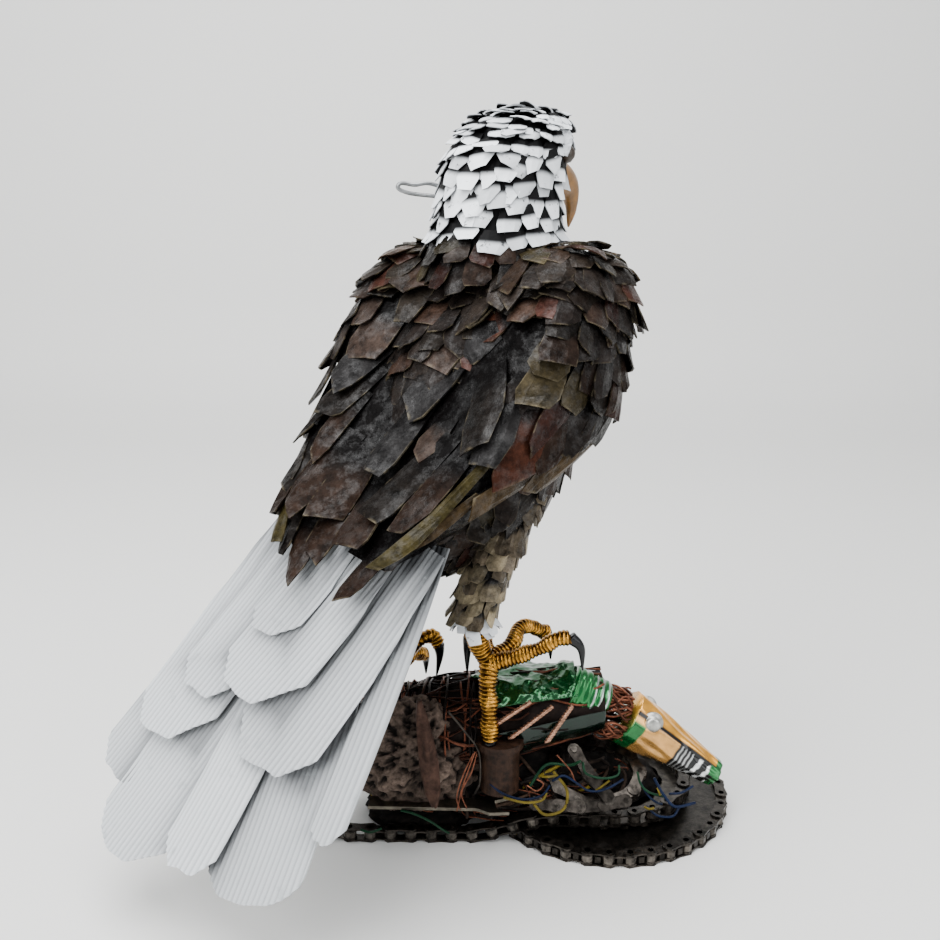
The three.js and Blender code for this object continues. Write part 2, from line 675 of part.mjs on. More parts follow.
// A short loop of chain lying against the heap, in a tilted plane.
function drapedChain(margin) {
  const slope = vec(0, Math.cos(DRAPED_TILT), Math.sin(DRAPED_TILT));
  const normal = vec(0, -Math.sin(DRAPED_TILT), Math.cos(DRAPED_TILT));
  const path = (t) => {
    const angle = t * 2 * Math.PI;
    return DRAPED_CENTRE.clone()
      .add(vec(DRAPED_HALF.x * Math.cos(angle), 0, 0))
      .addScaledVector(slope, DRAPED_HALF.slope * Math.sin(angle));
  };
  return chainLoop(path, DRAPED_PITCHES, normal, margin);
}

const RING_HOLE = 20;

// A flat ring lying on a level: an outline with a round hole in the middle.
function flatRing(outline, level, thickness, margin) {
  outline.holes.push(new THREE.Path().absarc(0, 0, RING_HOLE - margin, 0, 2 * Math.PI, true));
  const settings = { depth: thickness + 2 * margin, bevelEnabled: false, curveSegments: 16 };
  const geometry = new THREE.ExtrudeGeometry(outline, settings);
  return solidOf(geometry.translate(RING_CENTRE.x, RING_CENTRE.y, level - margin));
}

const RING_LEVEL = 1.6;
const RING_THICKNESS = 5;
function largeRing(margin) {
  const outer = ringRadius(RING_TEETH) - LINK_HALF_HEIGHT - GAP + margin;
  const outline = new THREE.Shape().absarc(0, 0, outer, 0, 2 * Math.PI, false);
  return flatRing(outline, RING_LEVEL, RING_THICKNESS, margin);
}

// The small sprocket: a flat valley and a point for each tooth.
const TOOTH = { depth: 2.4, valley: 0.4, point: 0.7 };
const SPROCKET_THICKNESS = 2;
const SPROCKET_LEVEL = CHAIN_WIDTH + GAP;
function smallSprocket(margin) {
  const root = ringRadius(SPROCKET_TEETH) - TOOTH.depth + margin;
  const point = ringRadius(SPROCKET_TEETH) + TOOTH.depth + margin;
  const turn = (2 * Math.PI) / SPROCKET_TEETH;
  const at = (reach, share) => new THREE.Vector2(reach * Math.cos(share * turn), reach * Math.sin(share * turn));
  const teeth = Array.from({ length: SPROCKET_TEETH }, (_, i) => [
    at(root, i),
    at(root, i + TOOTH.valley),
    at(point, i + TOOTH.point),
  ]);
  return flatRing(new THREE.Shape(teeth.flat()), SPROCKET_LEVEL, SPROCKET_THICKNESS, margin);
}

// Lumps: a rough stone and the tangle of scrap that carries the fish.
const lump = (depth) => (p) => 1 + depth * Math.sin(5 * p.x + 2 * p.z) * Math.cos(4 * p.y - 3 * p.z);
const slag = (margin) => solidOf(ellipsoid(SLAG_CENTRE, SLAG_HALF, 10, 7, margin, lump(0.08)));

// Everything below a level.
function below(level) {
  return solidOf(new THREE.BoxGeometry(FLOOR_SIZE, FLOOR_SIZE, FLOOR_SIZE).translate(0, 0, level - FLOOR_SIZE / 2));
}

function heap() {
  const tangle = solidOf(ellipsoid(HEAP_CENTRE, HEAP_HALF, 14, 10, 0, lump(0.05)));
  const whole = tangle.add(solidOf(ellipsoid(RING_CENTRE, RING_LOBE_HALF, 12, 8)));
  const low = solidOf(ellipsoid(FLOOR_LOBE_CENTRE, FLOOR_LOBE_HALF, 12, 8)).subtract(below(FLOOR_CLEARANCE));
  return whole.subtract(below(SPROCKET_LEVEL + SPROCKET_THICKNESS + GAP)).add(low);
}

// A wooden spool standing on end: a core with a flange at the top.
function spool(margin) {
  const { core, flange, height, lip } = SPOOL;
  const profile = [
    new THREE.Vector2(0, -margin),
    new THREE.Vector2(core + margin, -margin),
    new THREE.Vector2(core + margin, height - lip - margin),
    new THREE.Vector2(flange + margin, height - lip - margin),
    new THREE.Vector2(flange + margin, height + margin),
    new THREE.Vector2(0, height + margin),
  ];
  const turned = new THREE.LatheGeometry(profile, 12).rotateX(Math.PI / 2);
  return solidOf(turned.translate(SPOOL_AT.x, SPOOL_AT.y, SPOOL_AT.z));
}

// A flat open-ended spanner lying along the front of the plinth.
function spanner(margin) {
  const length = SPANNER_FROM.distanceTo(SPANNER_TO);
  const width = SPANNER.width + 2 * margin;
  const jaw = SPANNER.jaw + 2 * margin;
  const shape = new THREE.Shape();
  shape.moveTo(0, -width / 2).lineTo(length - jaw, -width / 2);
  shape.lineTo(length - jaw / 2, -jaw / 2).lineTo(length, -jaw / 2).lineTo(length - jaw / 3, -jaw / 6);
  shape.lineTo(length - jaw / 3, jaw / 6).lineTo(length, jaw / 2).lineTo(length - jaw / 2, jaw / 2);
  shape.lineTo(length - jaw, width / 2).lineTo(0, width / 2).closePath();
  const depth = SPANNER.thickness + 2 * margin;
  const geometry = new THREE.ExtrudeGeometry(shape, { depth, bevelEnabled: false });
  geometry.rotateZ(Math.atan2(SPANNER_TO.y - SPANNER_FROM.y, SPANNER_TO.x - SPANNER_FROM.x));
  return solidOf(geometry.translate(SPANNER_FROM.x, SPANNER_FROM.y, SPANNER_FROM.z - margin));
}

// A rusty strip of tin leaning on the slag.
function tinStrip(margin) {
  const width = STRIP.width + 2 * margin;
  const thickness = STRIP.thickness + 2 * margin;
  const way = STRIP_TO.clone().sub(STRIP_FROM);
  const length = way.length();
  way.normalize();
  const across = way.clone().cross(vec(0, -1, 0)).normalize();
  const geometry = new THREE.BoxGeometry(width, length, thickness).translate(0, length / 2, 0);
  geometry.applyMatrix4(new THREE.Matrix4().makeBasis(across, way, across.clone().cross(way)));
  return solidOf(geometry.translate(STRIP_FROM.x, STRIP_FROM.y, STRIP_FROM.z));
}

// Assembly: each piece is cut clear of the grown forms of the pieces listed before it.

// A form moved from the eagle's own axes to the plinth's.
function stood(form) {
  return (margin) => {
    const made = form(margin).getMesh();
    const geometry = new THREE.BufferGeometry();
    geometry.setAttribute("position", new THREE.BufferAttribute(made.vertProperties.slice(), 3));
    geometry.setIndex(new THREE.BufferAttribute(made.triVerts, 1));
    return solidOf(geometry.applyMatrix4(STAND));
  };
}

const bothSides = (make) => [make("right", 1), make("left", -1)].flat();

const plinthParts = [
  { name: "large_chainring", form: largeRing, material: STEEL },
  { name: "chainring_chain", form: ringChain, material: STEEL },
  { name: "small_sprocket", form: smallSprocket, material: STEEL },
  { name: "long_chain", form: longChain, material: STEEL },
  { name: "draped_chain", form: drapedChain, material: STEEL },
  { name: "spanner", form: spanner, material: BARE_STEEL },
  { name: "tin_strip", form: tinStrip, material: RUST },
  { name: "wooden_spool", form: spool, material: RUST },
];

const legParts = bothSides((name, side) => [
  { name: `${name}_foot`, form: (margin) => foot(side, margin), material: GOLD_WIRE },
  { name: `${name}_ankle_feathers`, form: (margin) => ankleFeathers(side, margin), material: WHITE_FEATHER },
  ...Object.keys(RIGHT_TOES).map((toe) => ({
    name: `${name}_${toe}_claw`,
    form: (margin) => claw(side, toe, margin),
    material: BLACK_CLAW,
  })),
]);

const bodyForm = (margin) =>
  joined([
    torso(margin),
    ...bodyFeathers(margin),
    ...bothSides((_, side) => thigh(side, margin)),
  ]);
const headForm = (margin) => joined([hood(margin), ...headFeathers(margin)]);

const birdParts = [
  { name: "body", form: bodyForm, material: DARK_FEATHER },
  ...bothSides((name, side) => ({
    name: `${name}_wing`,
    form: (margin) => joined([wingShell(side, margin), ...wingFeathers(side, margin)]),
    material: DARK_FEATHER,
  })),
  { name: "head", form: headForm, material: WHITE_FEATHER },
  { name: "beak", form: beak, material: HORN },
  ...bothSides((name, side) => ({
    name: `${name}_eye`,
    form: (margin) => eye(side, margin),
    material: HORN,
  })),
  { name: "neck_wire_loop", form: wireLoop, material: BARE_STEEL },
  ...TAIL_FEATHERS.map((feather, i) => ({
    name: `tail_feather_${i + 1}`,
    form: (margin) => tailFeather(feather, margin),
    material: WHITE_SHEET,
  })),
];

const eagleParts = [...legParts, ...birdParts].map((part) => ({ ...part, form: stood(part.form) }));

const fishParts = [
  { name: "fish_collar", form: fishCollar, material: GREEN_CAN },
  { name: "fish_gill", form: fishGill, material: COPPER },
  { name: "fish_head", form: fishHead, material: AMBER_CAN },
  ...bothSides((name, side) => ({
    name: `fish_${name}_eye`,
    form: (margin) => fishEye(-side, margin),
    material: BARE_STEEL,
  })),
  { name: "fish_body", form: fishBody, material: GREEN_CAN },
];

const rodParts = FIN_RODS.map((points, i) => ({
  name: `fin_rod_${i + 1}`,
  form: (margin) => solidOf(tube(points, [FIN_ROD_RADIUS, FIN_ROD_RADIUS], 6, 1, margin)),
  material: COPPER,
}));

const wireParts = Object.entries(WIRES).map(([colour, points]) => ({
  name: `${colour}_wire`,
  form: (margin) => solidOf(tube(points, [WIRE_RADIUS, WIRE_RADIUS], 5, 8, margin)),
  material: WIRE_COVERS[colour],
}));

const heapParts = [
  { name: "slag_lump", form: slag, material: SLAG },
  { name: "scrap_heap", form: heap, material: STEEL },
];

const apart = (a, b) =>
  [0, 1, 2].some((i) => a.min[i] > b.max[i] || b.min[i] > a.max[i]);

const sculpture = new THREE.Group();
const grown = [];
for (const { name, form, material } of [
  ...plinthParts,
  ...eagleParts,
  ...rodParts,
  ...wireParts,
  ...fishParts,
  ...heapParts,
]) {
  const whole = form(0);
  const near = grown.filter((other) => !apart(other.boundingBox(), whole.boundingBox()));
  const cut = near.reduce((rest, other) => rest.subtract(other), whole);
  sculpture.add(piece(name, near.length ? largest(cut) : whole, material));
  grown.push(form(GAP));
}

// The part's origin is the middle of its underside.
const box = new THREE.Box3().setFromObject(sculpture);
const centre = box.getCenter(vec(0, 0, 0));
sculpture.children.forEach((mesh) => mesh.geometry.translate(-centre.x, -centre.y, -box.min.z));

export default sculpture;
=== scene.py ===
"""Looks of the scrap-metal eagle, its fish of can sheet and its plinth of chain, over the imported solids.

Sizes are millimetres in the plinth's axes: x towards the fish's head, y away from the viewer, z up.
The eagle's own axes have x to its right, y forward and z up; stood() turns them into the plinth's.
"""

import bpy
import numpy as np
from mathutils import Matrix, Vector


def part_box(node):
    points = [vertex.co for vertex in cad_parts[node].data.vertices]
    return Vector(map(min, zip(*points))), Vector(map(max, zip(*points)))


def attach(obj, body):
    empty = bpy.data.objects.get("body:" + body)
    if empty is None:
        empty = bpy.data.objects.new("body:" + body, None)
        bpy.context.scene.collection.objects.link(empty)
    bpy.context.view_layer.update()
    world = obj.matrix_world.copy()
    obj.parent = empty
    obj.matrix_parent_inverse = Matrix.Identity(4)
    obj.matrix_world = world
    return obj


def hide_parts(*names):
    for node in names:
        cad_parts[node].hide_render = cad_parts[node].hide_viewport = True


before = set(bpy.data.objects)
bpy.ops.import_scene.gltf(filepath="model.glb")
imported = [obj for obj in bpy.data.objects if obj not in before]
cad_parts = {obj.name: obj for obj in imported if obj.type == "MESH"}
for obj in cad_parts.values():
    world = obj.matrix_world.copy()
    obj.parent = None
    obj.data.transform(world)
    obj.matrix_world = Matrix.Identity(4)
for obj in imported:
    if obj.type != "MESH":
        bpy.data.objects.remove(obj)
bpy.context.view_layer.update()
MM = 0.001
TURN = 2 * np.pi
STEP = 1e-3  # for slopes of surfaces, in their own parameters
chance = np.random.default_rng(11)

# The plinth's axes start where the solids were drawn; the large ring shows how far they were shifted.
RING_CENTRE = np.array([89.0, 24.0, 0.0])
ring_low, ring_high = (np.array(corner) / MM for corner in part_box("chainring_chain"))
SHIFT = np.array([*((ring_low + ring_high) / 2 - RING_CENTRE)[:2], 0.0])

HEADING = np.radians(38)
FEET = np.array([-17.0, 0.0, 0.0])


def stood(points):
    """Eagle's axes to plinth's: a turn by the heading about z, then a step to the stance."""
    x, y, z = np.moveaxis(np.asarray(points, float), -1, 0)
    c, s = np.cos(HEADING), np.sin(HEADING)
    return np.stack([x * c + y * s, y * c - x * s, z], -1) + FEET


# Numbers


def unit(v):
    """Vectors divided by their lengths."""
    return v / np.maximum(np.linalg.norm(v, axis=-1, keepdims=True), 1e-9)


def normals(points):
    """Normals of a grid of points (rows, columns, 3): its slope across crossed with its slope down."""
    return unit(np.cross(np.gradient(points, axis=1), np.gradient(points, axis=0)))


def linear(hex_colour):
    """An sRGB hex colour as linear red, green and blue."""
    srgb = np.array([int(hex_colour[i : i + 2], 16) for i in (1, 3, 5)]) / 255
    return np.where(srgb <= 0.04045, srgb / 12.92, ((srgb + 0.055) / 1.055) ** 2.4)


def palette(*hex_colours):
    """Several sRGB hex colours as rows of linear red, green and blue."""
    return np.array([linear(colour) for colour in hex_colours])


def spline(count, t):
    """Catmull-Rom weights of count control points at t, from 0 to 1; outside that it runs on straight."""
    t = np.asarray(t, float)

    def inside(t):
        place = t * (count - 1)
        i = np.clip(np.floor(place).astype(int), 0, count - 2)
        f = (place - i)[..., None]
        cubic = [
            -f / 2 + f**2 - f**3 / 2,
            1 - 2.5 * f**2 + 1.5 * f**3,
            f / 2 + 2 * f**2 - 1.5 * f**3,
            -(f**2) / 2 + f**3 / 2,
        ]
        extended = np.zeros((count + 2, count))
        extended[1:-1] = np.eye(count)
        extended[0, :2] = 2, -1
        extended[-1, -2:] = -1, 2
        return sum(part * np.eye(count + 2)[i + k] for k, part in enumerate(cubic)) @ extended

    kept = np.clip(t, 0, 1)
    near = np.where(kept < 0.5, kept + STEP, kept - STEP)
    slope = (inside(kept) - inside(near)) / (kept - near)[..., None]
    return inside(kept) + (t - kept)[..., None] * slope


def smooth(points, count):
    """A smooth path of count points through a few points."""
    points = np.asarray(points, float)
    return spline(len(points), np.linspace(0, 1, count)) @ points


def even(path, count, closed=False):
    """The same path with count points at even distances along it."""
    if closed:
        path = np.concatenate([path, path[:1]])
    run = np.concatenate([[0], np.cumsum(np.linalg.norm(np.diff(path, axis=0), axis=1))])
    at = np.linspace(0, run[-1], count + 1)[:-1] if closed else np.linspace(0, run[-1], count)
    return np.stack([np.interp(at, run, path[:, k]) for k in range(3)], -1)


def rough(points, size, seed, ridged=False):
    """Noise about zero at points: sines along random directions, in waves from size to a quarter of it."""
    dice = np.random.default_rng(seed)
    octaves, waves, falling = 3, 7, 1.8
    total = 0.0
    for octave in range(octaves):
        ways = unit(dice.normal(size=(waves, 3))) * TURN / size * 2**octave
        wave = np.sin(points @ ways.T + dice.uniform(0, TURN, waves) + 0.7 * octave)
        wave = 1 - 2 * np.abs(wave) ** 0.7 if ridged else wave
        total = total + wave.sum(-1) / (waves / 2) / falling**octave
    return total


def draws(seed, count):
    """A seeded dice, and a function that draws a number between two bounds for each of count wires."""
    dice = np.random.default_rng(seed)
    return dice, lambda low, high: dice.uniform(low, high, (count, 1))


def blend(a, b, share):
    """From a to b by share, along the last axis."""
    share = np.asarray(share, float)[..., None]
    return a * (1 - share) + b * share


# Surfaces: each gives points, faces and a colour or a place on the sheet for every point


def joined(*parts):
    """Several (points, faces, more) surfaces as one; more holds named arrays with a row for every point."""
    points, faces, more, first = [], [], {}, 0
    for part_points, part_faces, part_more in parts:
        points.append(part_points)
        faces += [[first + i for i in face] for face in part_faces]
        for key, value in part_more.items():
            more.setdefault(key, []).append(value)
        first += len(part_points)
    return np.concatenate(points), faces, {key: np.concatenate(value) for key, value in more.items()}


def net(rows, columns, around=False, along=False):
    """Quads of a grid of points kept row by row; around joins last column and first, along the rows."""
    i = np.arange(rows if along else rows - 1)[:, None]
    j = np.arange(columns if around else columns - 1)[None]
    i2, j2 = (i + 1) % rows, (j + 1) % columns
    corners = [i * columns + j, i * columns + j2, i2 * columns + j2, i2 * columns + j]
    return np.stack(corners, -1).reshape(-1, 4)


def rings(rows, columns, out=1):
    """Faces of a closed body whose points are rings kept row by row, with a flat face at each end."""
    last = (rows - 1) * columns
    faces = net(rows, columns, around=True).tolist()
    faces += [list(range(columns - 1, -1, -1)), list(range(last, last + columns))]
    return faces if out > 0 else [face[::-1] for face in faces]


def two_sided(rows, columns, out):
    """Faces of a sheet: a grid, its copy that faces the other way, and an edge round both."""
    size = rows * columns
    rim = np.concatenate(
        [
            np.arange(columns),
            np.arange(1, rows) * columns + columns - 1,
            (rows - 1) * columns + np.arange(columns - 2, -1, -1),
            np.arange(rows - 2, 0, -1) * columns,
        ]
    )
    ahead = np.roll(rim, -1)
    edge = np.stack([ahead, rim, rim + size, ahead + size], -1)
    top = net(rows, columns)
    faces = np.concatenate([top, top[:, ::-1] + size, edge])
    return faces if out > 0 else faces[:, ::-1]


def repeated(faces, count, step):
    """The same faces for count copies whose points follow one another by step."""
    faces = np.asarray(faces)
    return (faces[None] + np.arange(count)[:, None, None] * step).reshape(-1, faces.shape[-1])


TUBE_SEAM = np.array([0.31, 0.23, 0.92])  # a ring's first side is square to its path and to this


def tubes(paths, radii, sides, colour=None):
    """Closed tubes: path plus radius times cosine and sine along two directions square to it, fan ends."""
    paths = np.asarray(paths, float)
    paths = paths[None] if paths.ndim == 2 else paths
    count, rows, _ = paths.shape
    radii = np.asarray(radii, float)
    radii = radii if radii.ndim == 3 else np.broadcast_to(np.atleast_1d(radii), (count, rows))[..., None]
    ahead = unit(np.gradient(paths, axis=1))
    side = unit(np.cross(ahead, TUBE_SEAM))
    lift = np.cross(ahead, side)
    angle = np.arange(sides) * TURN / sides
    ring = np.cos(angle)[:, None] * side[:, :, None] + np.sin(angle)[:, None] * lift[:, :, None]
    ring = paths[:, :, None] + radii[..., None] * ring
    points = np.concatenate([ring.reshape(count, -1, 3), paths[:, [0, -1]]], 1)
    step = rows * sides + 2
    j = np.arange(sides)
    j2 = (j + 1) % sides
    last = (rows - 1) * sides
    ends = np.concatenate(
        [
            np.stack([np.full(sides, step - 2), j2, j], -1),
            np.stack([np.full(sides, step - 1), last + j, last + j2], -1),
        ]
    )
    walls = net(rows, sides, around=True)
    faces = repeated(walls, count, step).tolist() + repeated(ends, count, step).tolist()
    more = {}
    if colour is not None:
        colour = np.asarray(colour, float).reshape(-1, 3)
        more["tint"] = np.repeat(np.broadcast_to(colour, (count, 3)), step, axis=0)
    return points.reshape(-1, 3), faces, more


def shell(points, thickness, out=1, more=None):
    """A sheet with two sides: a grid of points (rows, columns, 3) and its copy moved back along normals."""
    rows, columns, _ = points.shape
    under = points - normals(points) * out * thickness
    both = np.concatenate([points.reshape(-1, 3), under.reshape(-1, 3)])
    doubled = {}
    for key, value in (more or {}).items():
        doubled[key] = np.concatenate([value.reshape(rows * columns, -1)] * 2)
    return both, two_sided(rows, columns, out).tolist(), doubled


def turned(profile, sides, centre):
    """A profile of (radius, height) points turned about a vertical axis; it starts and ends near the axis."""
    angle = np.arange(sides) * TURN / sides
    radius, height = np.asarray(profile, float).T[..., None]
    ring = np.stack([radius * np.cos(angle), radius * np.sin(angle), height + 0 * angle], -1)
    return ring.reshape(-1, 3) + centre, rings(len(profile), sides), {}


def piece(name, surface, material, nodes=(), soft=True):
    """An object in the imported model's frame from points, faces and attributes; it stands for given nodes."""
    points, faces, more = surface
    mesh = bpy.data.meshes.new(name)
    mesh.from_pydata((points + SHIFT) * MM, [], faces)
    corners = np.empty(len(mesh.loops), int)
    mesh.loops.foreach_get("vertex_index", corners)
    if "sheet" in more:
        layer = mesh.uv_layers.new(name="sheet")
        layer.data.foreach_set("uv", more["sheet"][corners].astype(np.float32).ravel())
    if "tint" in more:
        colours = np.concatenate([more["tint"], np.ones((len(points), 1))], 1)
        mesh.color_attributes.new("tint", "FLOAT_COLOR", "POINT").data.foreach_set("color", colours.ravel())
    mesh.polygons.foreach_set("use_smooth", np.full(len(mesh.polygons), soft))
    mesh.validate()
    mesh.materials.append(material)
    made = bpy.data.objects.new(name, mesh)
    bpy.context.scene.collection.objects.link(made)
    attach(made, "root")
    if nodes:
        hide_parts(*nodes)
    return made


# Materials


def node(tree, kind, inputs=None, **settings):
    """Adds a node with its settings; an input is a value, or a (node, output) pair that is linked to it."""
    made = tree.nodes.new("ShaderNode" + kind)
    for key, value in settings.items():
        setattr(made, key, value)
    for key, value in (inputs or {}).items():
        if isinstance(value, tuple) and hasattr(value[0], "outputs"):
            tree.links.new(value[0].outputs[value[1]], made.inputs[key])
        else:
            made.inputs[key].default_value = value
    return made


def grain(place, size, detail=4, roughness=0.6):
    """A noise's inputs for blotches of size millimetres, on Object coordinates, which are metres."""
    return {"Vector": (place, "Object"), "Scale": 1 / (size * MM), "Detail": detail, "Roughness": roughness}


def span(value, start, end, low=0.0, high=1.0):
    """A range's inputs that take a value from start and end to low and high."""
    return {"Value": (value, 0), "From Min": start, "From Max": end, "To Min": low, "To Max": high}


def finish(name, roughness, metallic, colour=None, **more):
    """A material of one shader, whose even values sit on its own sockets."""
    material = bpy.data.materials.new(name)
    material.use_nodes = True
    shader = material.node_tree.nodes["Principled BSDF"]
    shader.inputs["Roughness"].default_value = roughness
    shader.inputs["Metallic"].default_value = metallic
    if colour:
        shader.inputs["Base Color"].default_value = (*linear(colour), 1)
    for key, value in more.items():
        shader.inputs[key.replace("_", " ")].default_value = value
    return material, material.node_tree, shader


def worn_edge(tree, split, start_side, start_tip):
    """1 at a plate's long edges and its tip, 0 inside, from the place across and along the plate, 0 to 1."""
    centred = node(tree, "Math", {0: (split, "X"), 1: 0.5}, operation="SUBTRACT")
    across = node(tree, "Math", {0: (centred, 0)}, operation="ABSOLUTE")
    side = node(tree, "MapRange", span(across, start_side, 0.5))
    tip = node(tree, "MapRange", {**span(across, start_tip, 1.0), "Value": (split, "Y")})
    return node(tree, "Math", {0: (side, 0), 1: (tip, 0)}, operation="MAXIMUM")


def painted_root_shade(tree, split, full_at, clear_at):
    """1 near a plate's root, for painted shade under the plate above, falling to 0 at clear_at along it."""
    ranges = {"Value": (split, "Y"), "From Min": clear_at, "From Max": full_at}
    return node(tree, "MapRange", ranges, interpolation_type="SMOOTHSTEP")


def place_on_plate(tree):
    """The place across (X) and along (Y) a plate, from its own map."""
    place = node(tree, "UVMap", uv_map="sheet")
    return node(tree, "SeparateXYZ", {0: (place, "UV")})


def stained_tint(tree, place, size, detail, roughness, ends, shades):
    """The piece's own colour times a factor: noise between two ends becomes a shade between two shades."""
    tint = node(tree, "VertexColor", layer_name="tint")
    blotch = node(tree, "TexNoise", grain(place, size, detail, roughness))
    dull = node(tree, "MapRange", span(blotch, *ends, *shades))
    shade = node(tree, "CombineColor", {0: (dull, 0), 1: (dull, 0), 2: (dull, 0)})
    inputs = {0: 1.0, 6: (tint, "Color"), 7: (shade, 0)}
    return node(tree, "Mix", inputs, data_type="RGBA", blend_type="MULTIPLY")


def patinated_steel():
    """Thin steel sheet, painted dark and rubbed: brown, rust and olive plates, thin pale edges, sheen, painted
    shade at the roots.
    """
    material, tree, shader = finish("patinated steel sheet", 0.36, 0.15)
    place = node(tree, "TexCoord")
    split = place_on_plate(tree)
    stained = stained_tint(tree, place, 8, 6, 0.7, (0.32, 0.68), (0.25, 1.75))
    fleck = node(tree, "TexNoise", grain(place, 7))
    patchy = node(tree, "MapRange", span(fleck, 0.46, 0.7, 0.0, 0.4))
    edge = worn_edge(tree, split, 0.465, 0.96)
    worn = node(tree, "Math", {0: (edge, 0), 1: (patchy, 0)}, operation="MULTIPLY")
    bare, root_dark = ((*linear(colour), 1) for colour in ("#857a62", "#060505"))
    rubbed = node(tree, "Mix", {0: (worn, 0), 6: (stained, 2), 7: bare}, data_type="RGBA")
    # Painted shade: near-black at each plate's root, under the plate above
    root_shade_mask = painted_root_shade(tree, split, 0.2, 0.55)
    root_shaded = node(tree, "Mix", {0: (root_shade_mask, 0), 6: (rubbed, 2), 7: root_dark}, data_type="RGBA")
    sheen = node(tree, "TexNoise", grain(place, 13, 8, 0.75))
    polish = node(tree, "MapRange", span(sheen, 0.46, 0.74, 0.03, 0.5))
    speck = node(tree, "TexNoise", grain(place, 1.1, 3))
    gloss = node(tree, "MapRange", span(speck, 0.35, 0.65, 0.22, 0.5))
    dents = node(tree, "TexNoise", grain(place, 8, 6, 0.62))
    bump = node(tree, "Bump", {"Height": (dents, 0), "Distance": 1.6 * MM, "Strength": 0.75})
    tree.links.new(root_shaded.outputs[2], shader.inputs["Base Color"])
    tree.links.new(polish.outputs[0], shader.inputs["Specular IOR Level"])
    tree.links.new(gloss.outputs[0], shader.inputs["Roughness"])
    tree.links.new(bump.outputs[0], shader.inputs["Normal"])
    return material


def white_paint(name, flake_colour, flake_share, blotch_size, shade_at=0):
    """White household paint brushed over sheet: matt, uneven, flaked to dark metal, with painted shade at the
    roots when asked for.
    """
    material, tree, shader = finish(name, 0.6, 0.0, Specular_IOR_Level=0.12)
    place = node(tree, "TexCoord")
    tint = node(tree, "VertexColor", layer_name="tint")
    blotch = node(tree, "TexNoise", grain(place, blotch_size, 5, 0.65))
    flaked = node(tree, "MapRange", span(blotch, 0.6, 0.68, 0.0, flake_share))
    flake, root_dark = ((*linear(colour), 1) for colour in (flake_colour, "#050506"))
    colour = node(tree, "Mix", {0: (flaked, 0), 6: (tint, "Color"), 7: flake}, data_type="RGBA")
    if shade_at:
        # Painted shade at each scrap's root, under the row above
        root_shade_mask = painted_root_shade(tree, place_on_plate(tree), 0.6 * shade_at, shade_at)
        colour = node(tree, "Mix", {0: (root_shade_mask, 0), 6: (colour, 2), 7: root_dark}, data_type="RGBA")
    strokes = node(tree, "TexNoise", grain(place, 3))
    bump = node(tree, "Bump", {"Height": (strokes, 0), "Distance": 0.3 * MM, "Strength": 0.5})
    tree.links.new(colour.outputs[2], shader.inputs["Base Color"])
    tree.links.new(bump.outputs[0], shader.inputs["Normal"])
    return material


def tinted(name, roughness, metallic, blotch_size, relief, dark=0.55, coat=0.0):
    """A metal or lacquer whose colour comes with the piece, darker in blotches; relief is in millimetres."""
    shine = 0.5 if metallic > 0.2 or coat else 0.12
    material, tree, shader = finish(name, roughness, metallic, Coat_Weight=coat, Specular_IOR_Level=shine)
    place = node(tree, "TexCoord")
    stained = stained_tint(tree, place, blotch_size, 5, 0.6, (0.35, 0.65), (dark, 1.15))
    dents = node(tree, "TexNoise", grain(place, blotch_size / 3))
    bump = node(tree, "Bump", {"Height": (dents, 0), "Distance": relief * MM, "Strength": 0.6})
    tree.links.new(stained.outputs[2], shader.inputs["Base Color"])
    tree.links.new(bump.outputs[0], shader.inputs["Normal"])
    return material


STEEL_SHEET = patinated_steel()
# Scraps: black shows between the rows, painted shade at the roots under the row above
WHITE_SCRAP = white_paint("white-painted scrap", "#1a1c1f", flake_share=0.85, blotch_size=5, shade_at=0.6)
# Corrugated sheet: broad grey stains over each plate's own white, with its painted shade and shadow
WHITE_SHEET = white_paint("white-painted corrugated sheet", "#8f9496", flake_share=0.45, blotch_size=16)
# Lacquered wire: narrow bright highlights along each turn, helped by painted highlights in the wire's colour
GOLD_WIRE = tinted("gold-coloured wire", 0.16, 1.0, blotch_size=4, relief=0.5, dark=0.35)
# Enamel: an even black with a soft highlight
BLACK_ENAMEL = finish("black enamel", 0.26, 0.0, "#0b0b0d", Coat_Weight=0.08, Specular_IOR_Level=0.25)[0]
# Brushed paint: satin, a little blotched
BEAK_PAINT = tinted("ochre painted beak", 0.42, 0.0, blotch_size=7, relief=0.2, dark=0.6, coat=0.12)
# Used chain: dark oil in blotches over worn steel
CHAIN_STEEL = tinted("oiled chain steel", 0.28, 0.9, blotch_size=4, relief=0.2, dark=0.25)
# Bare steel: grey, with a wide dull highlight
DULL_STEEL = tinted("dull bare steel", 0.38, 1.0, blotch_size=6, relief=0.1, dark=0.6)
# Drinks-can sheet: clear lacquer over colour on bright metal
CAN_SHEET = tinted("lacquered can sheet", 0.2, 0.7, blotch_size=9, relief=0.25, dark=0.75, coat=0.4)
# Copper gone brown, brighter where it was handled
OLD_COPPER = tinted("old copper wire", 0.38, 0.9, blotch_size=4, relief=0.15, dark=0.45)
# Cinder: matt and sooty, rough to the touch
CINDER = tinted("furnace cinder", 0.8, 0.0, blotch_size=3, relief=0.5, dark=0.4)
# Rusted tinplate: matt brown with dark scabs
RUSTY_TIN = tinted("rusty tin", 0.75, 0.1, blotch_size=6, relief=0.6, dark=0.4)
# Soft plastic: an even colour with little shine
WIRE_COVER = tinted("wire insulation", 0.4, 0.0, blotch_size=6, relief=0.05, dark=0.6)
# Turned wood under old lacquer, nearly black in its hollows
SPOOL_WOOD = tinted("dark lacquered wood", 0.42, 0.0, blotch_size=5, relief=0.5, dark=0.25)


def plain(surface, colour, place=None):
    """The same surface with one colour for every point and, for plates' materials, one place on the plate."""
    points, faces, more = surface
    more = {**more, "tint": np.tile(linear(colour), (len(points), 1))}
    if place is not None:
        more["sheet"] = np.full((len(points), 2), place)
    return points, faces, more


# Plates: small pieces of sheet laid like scales

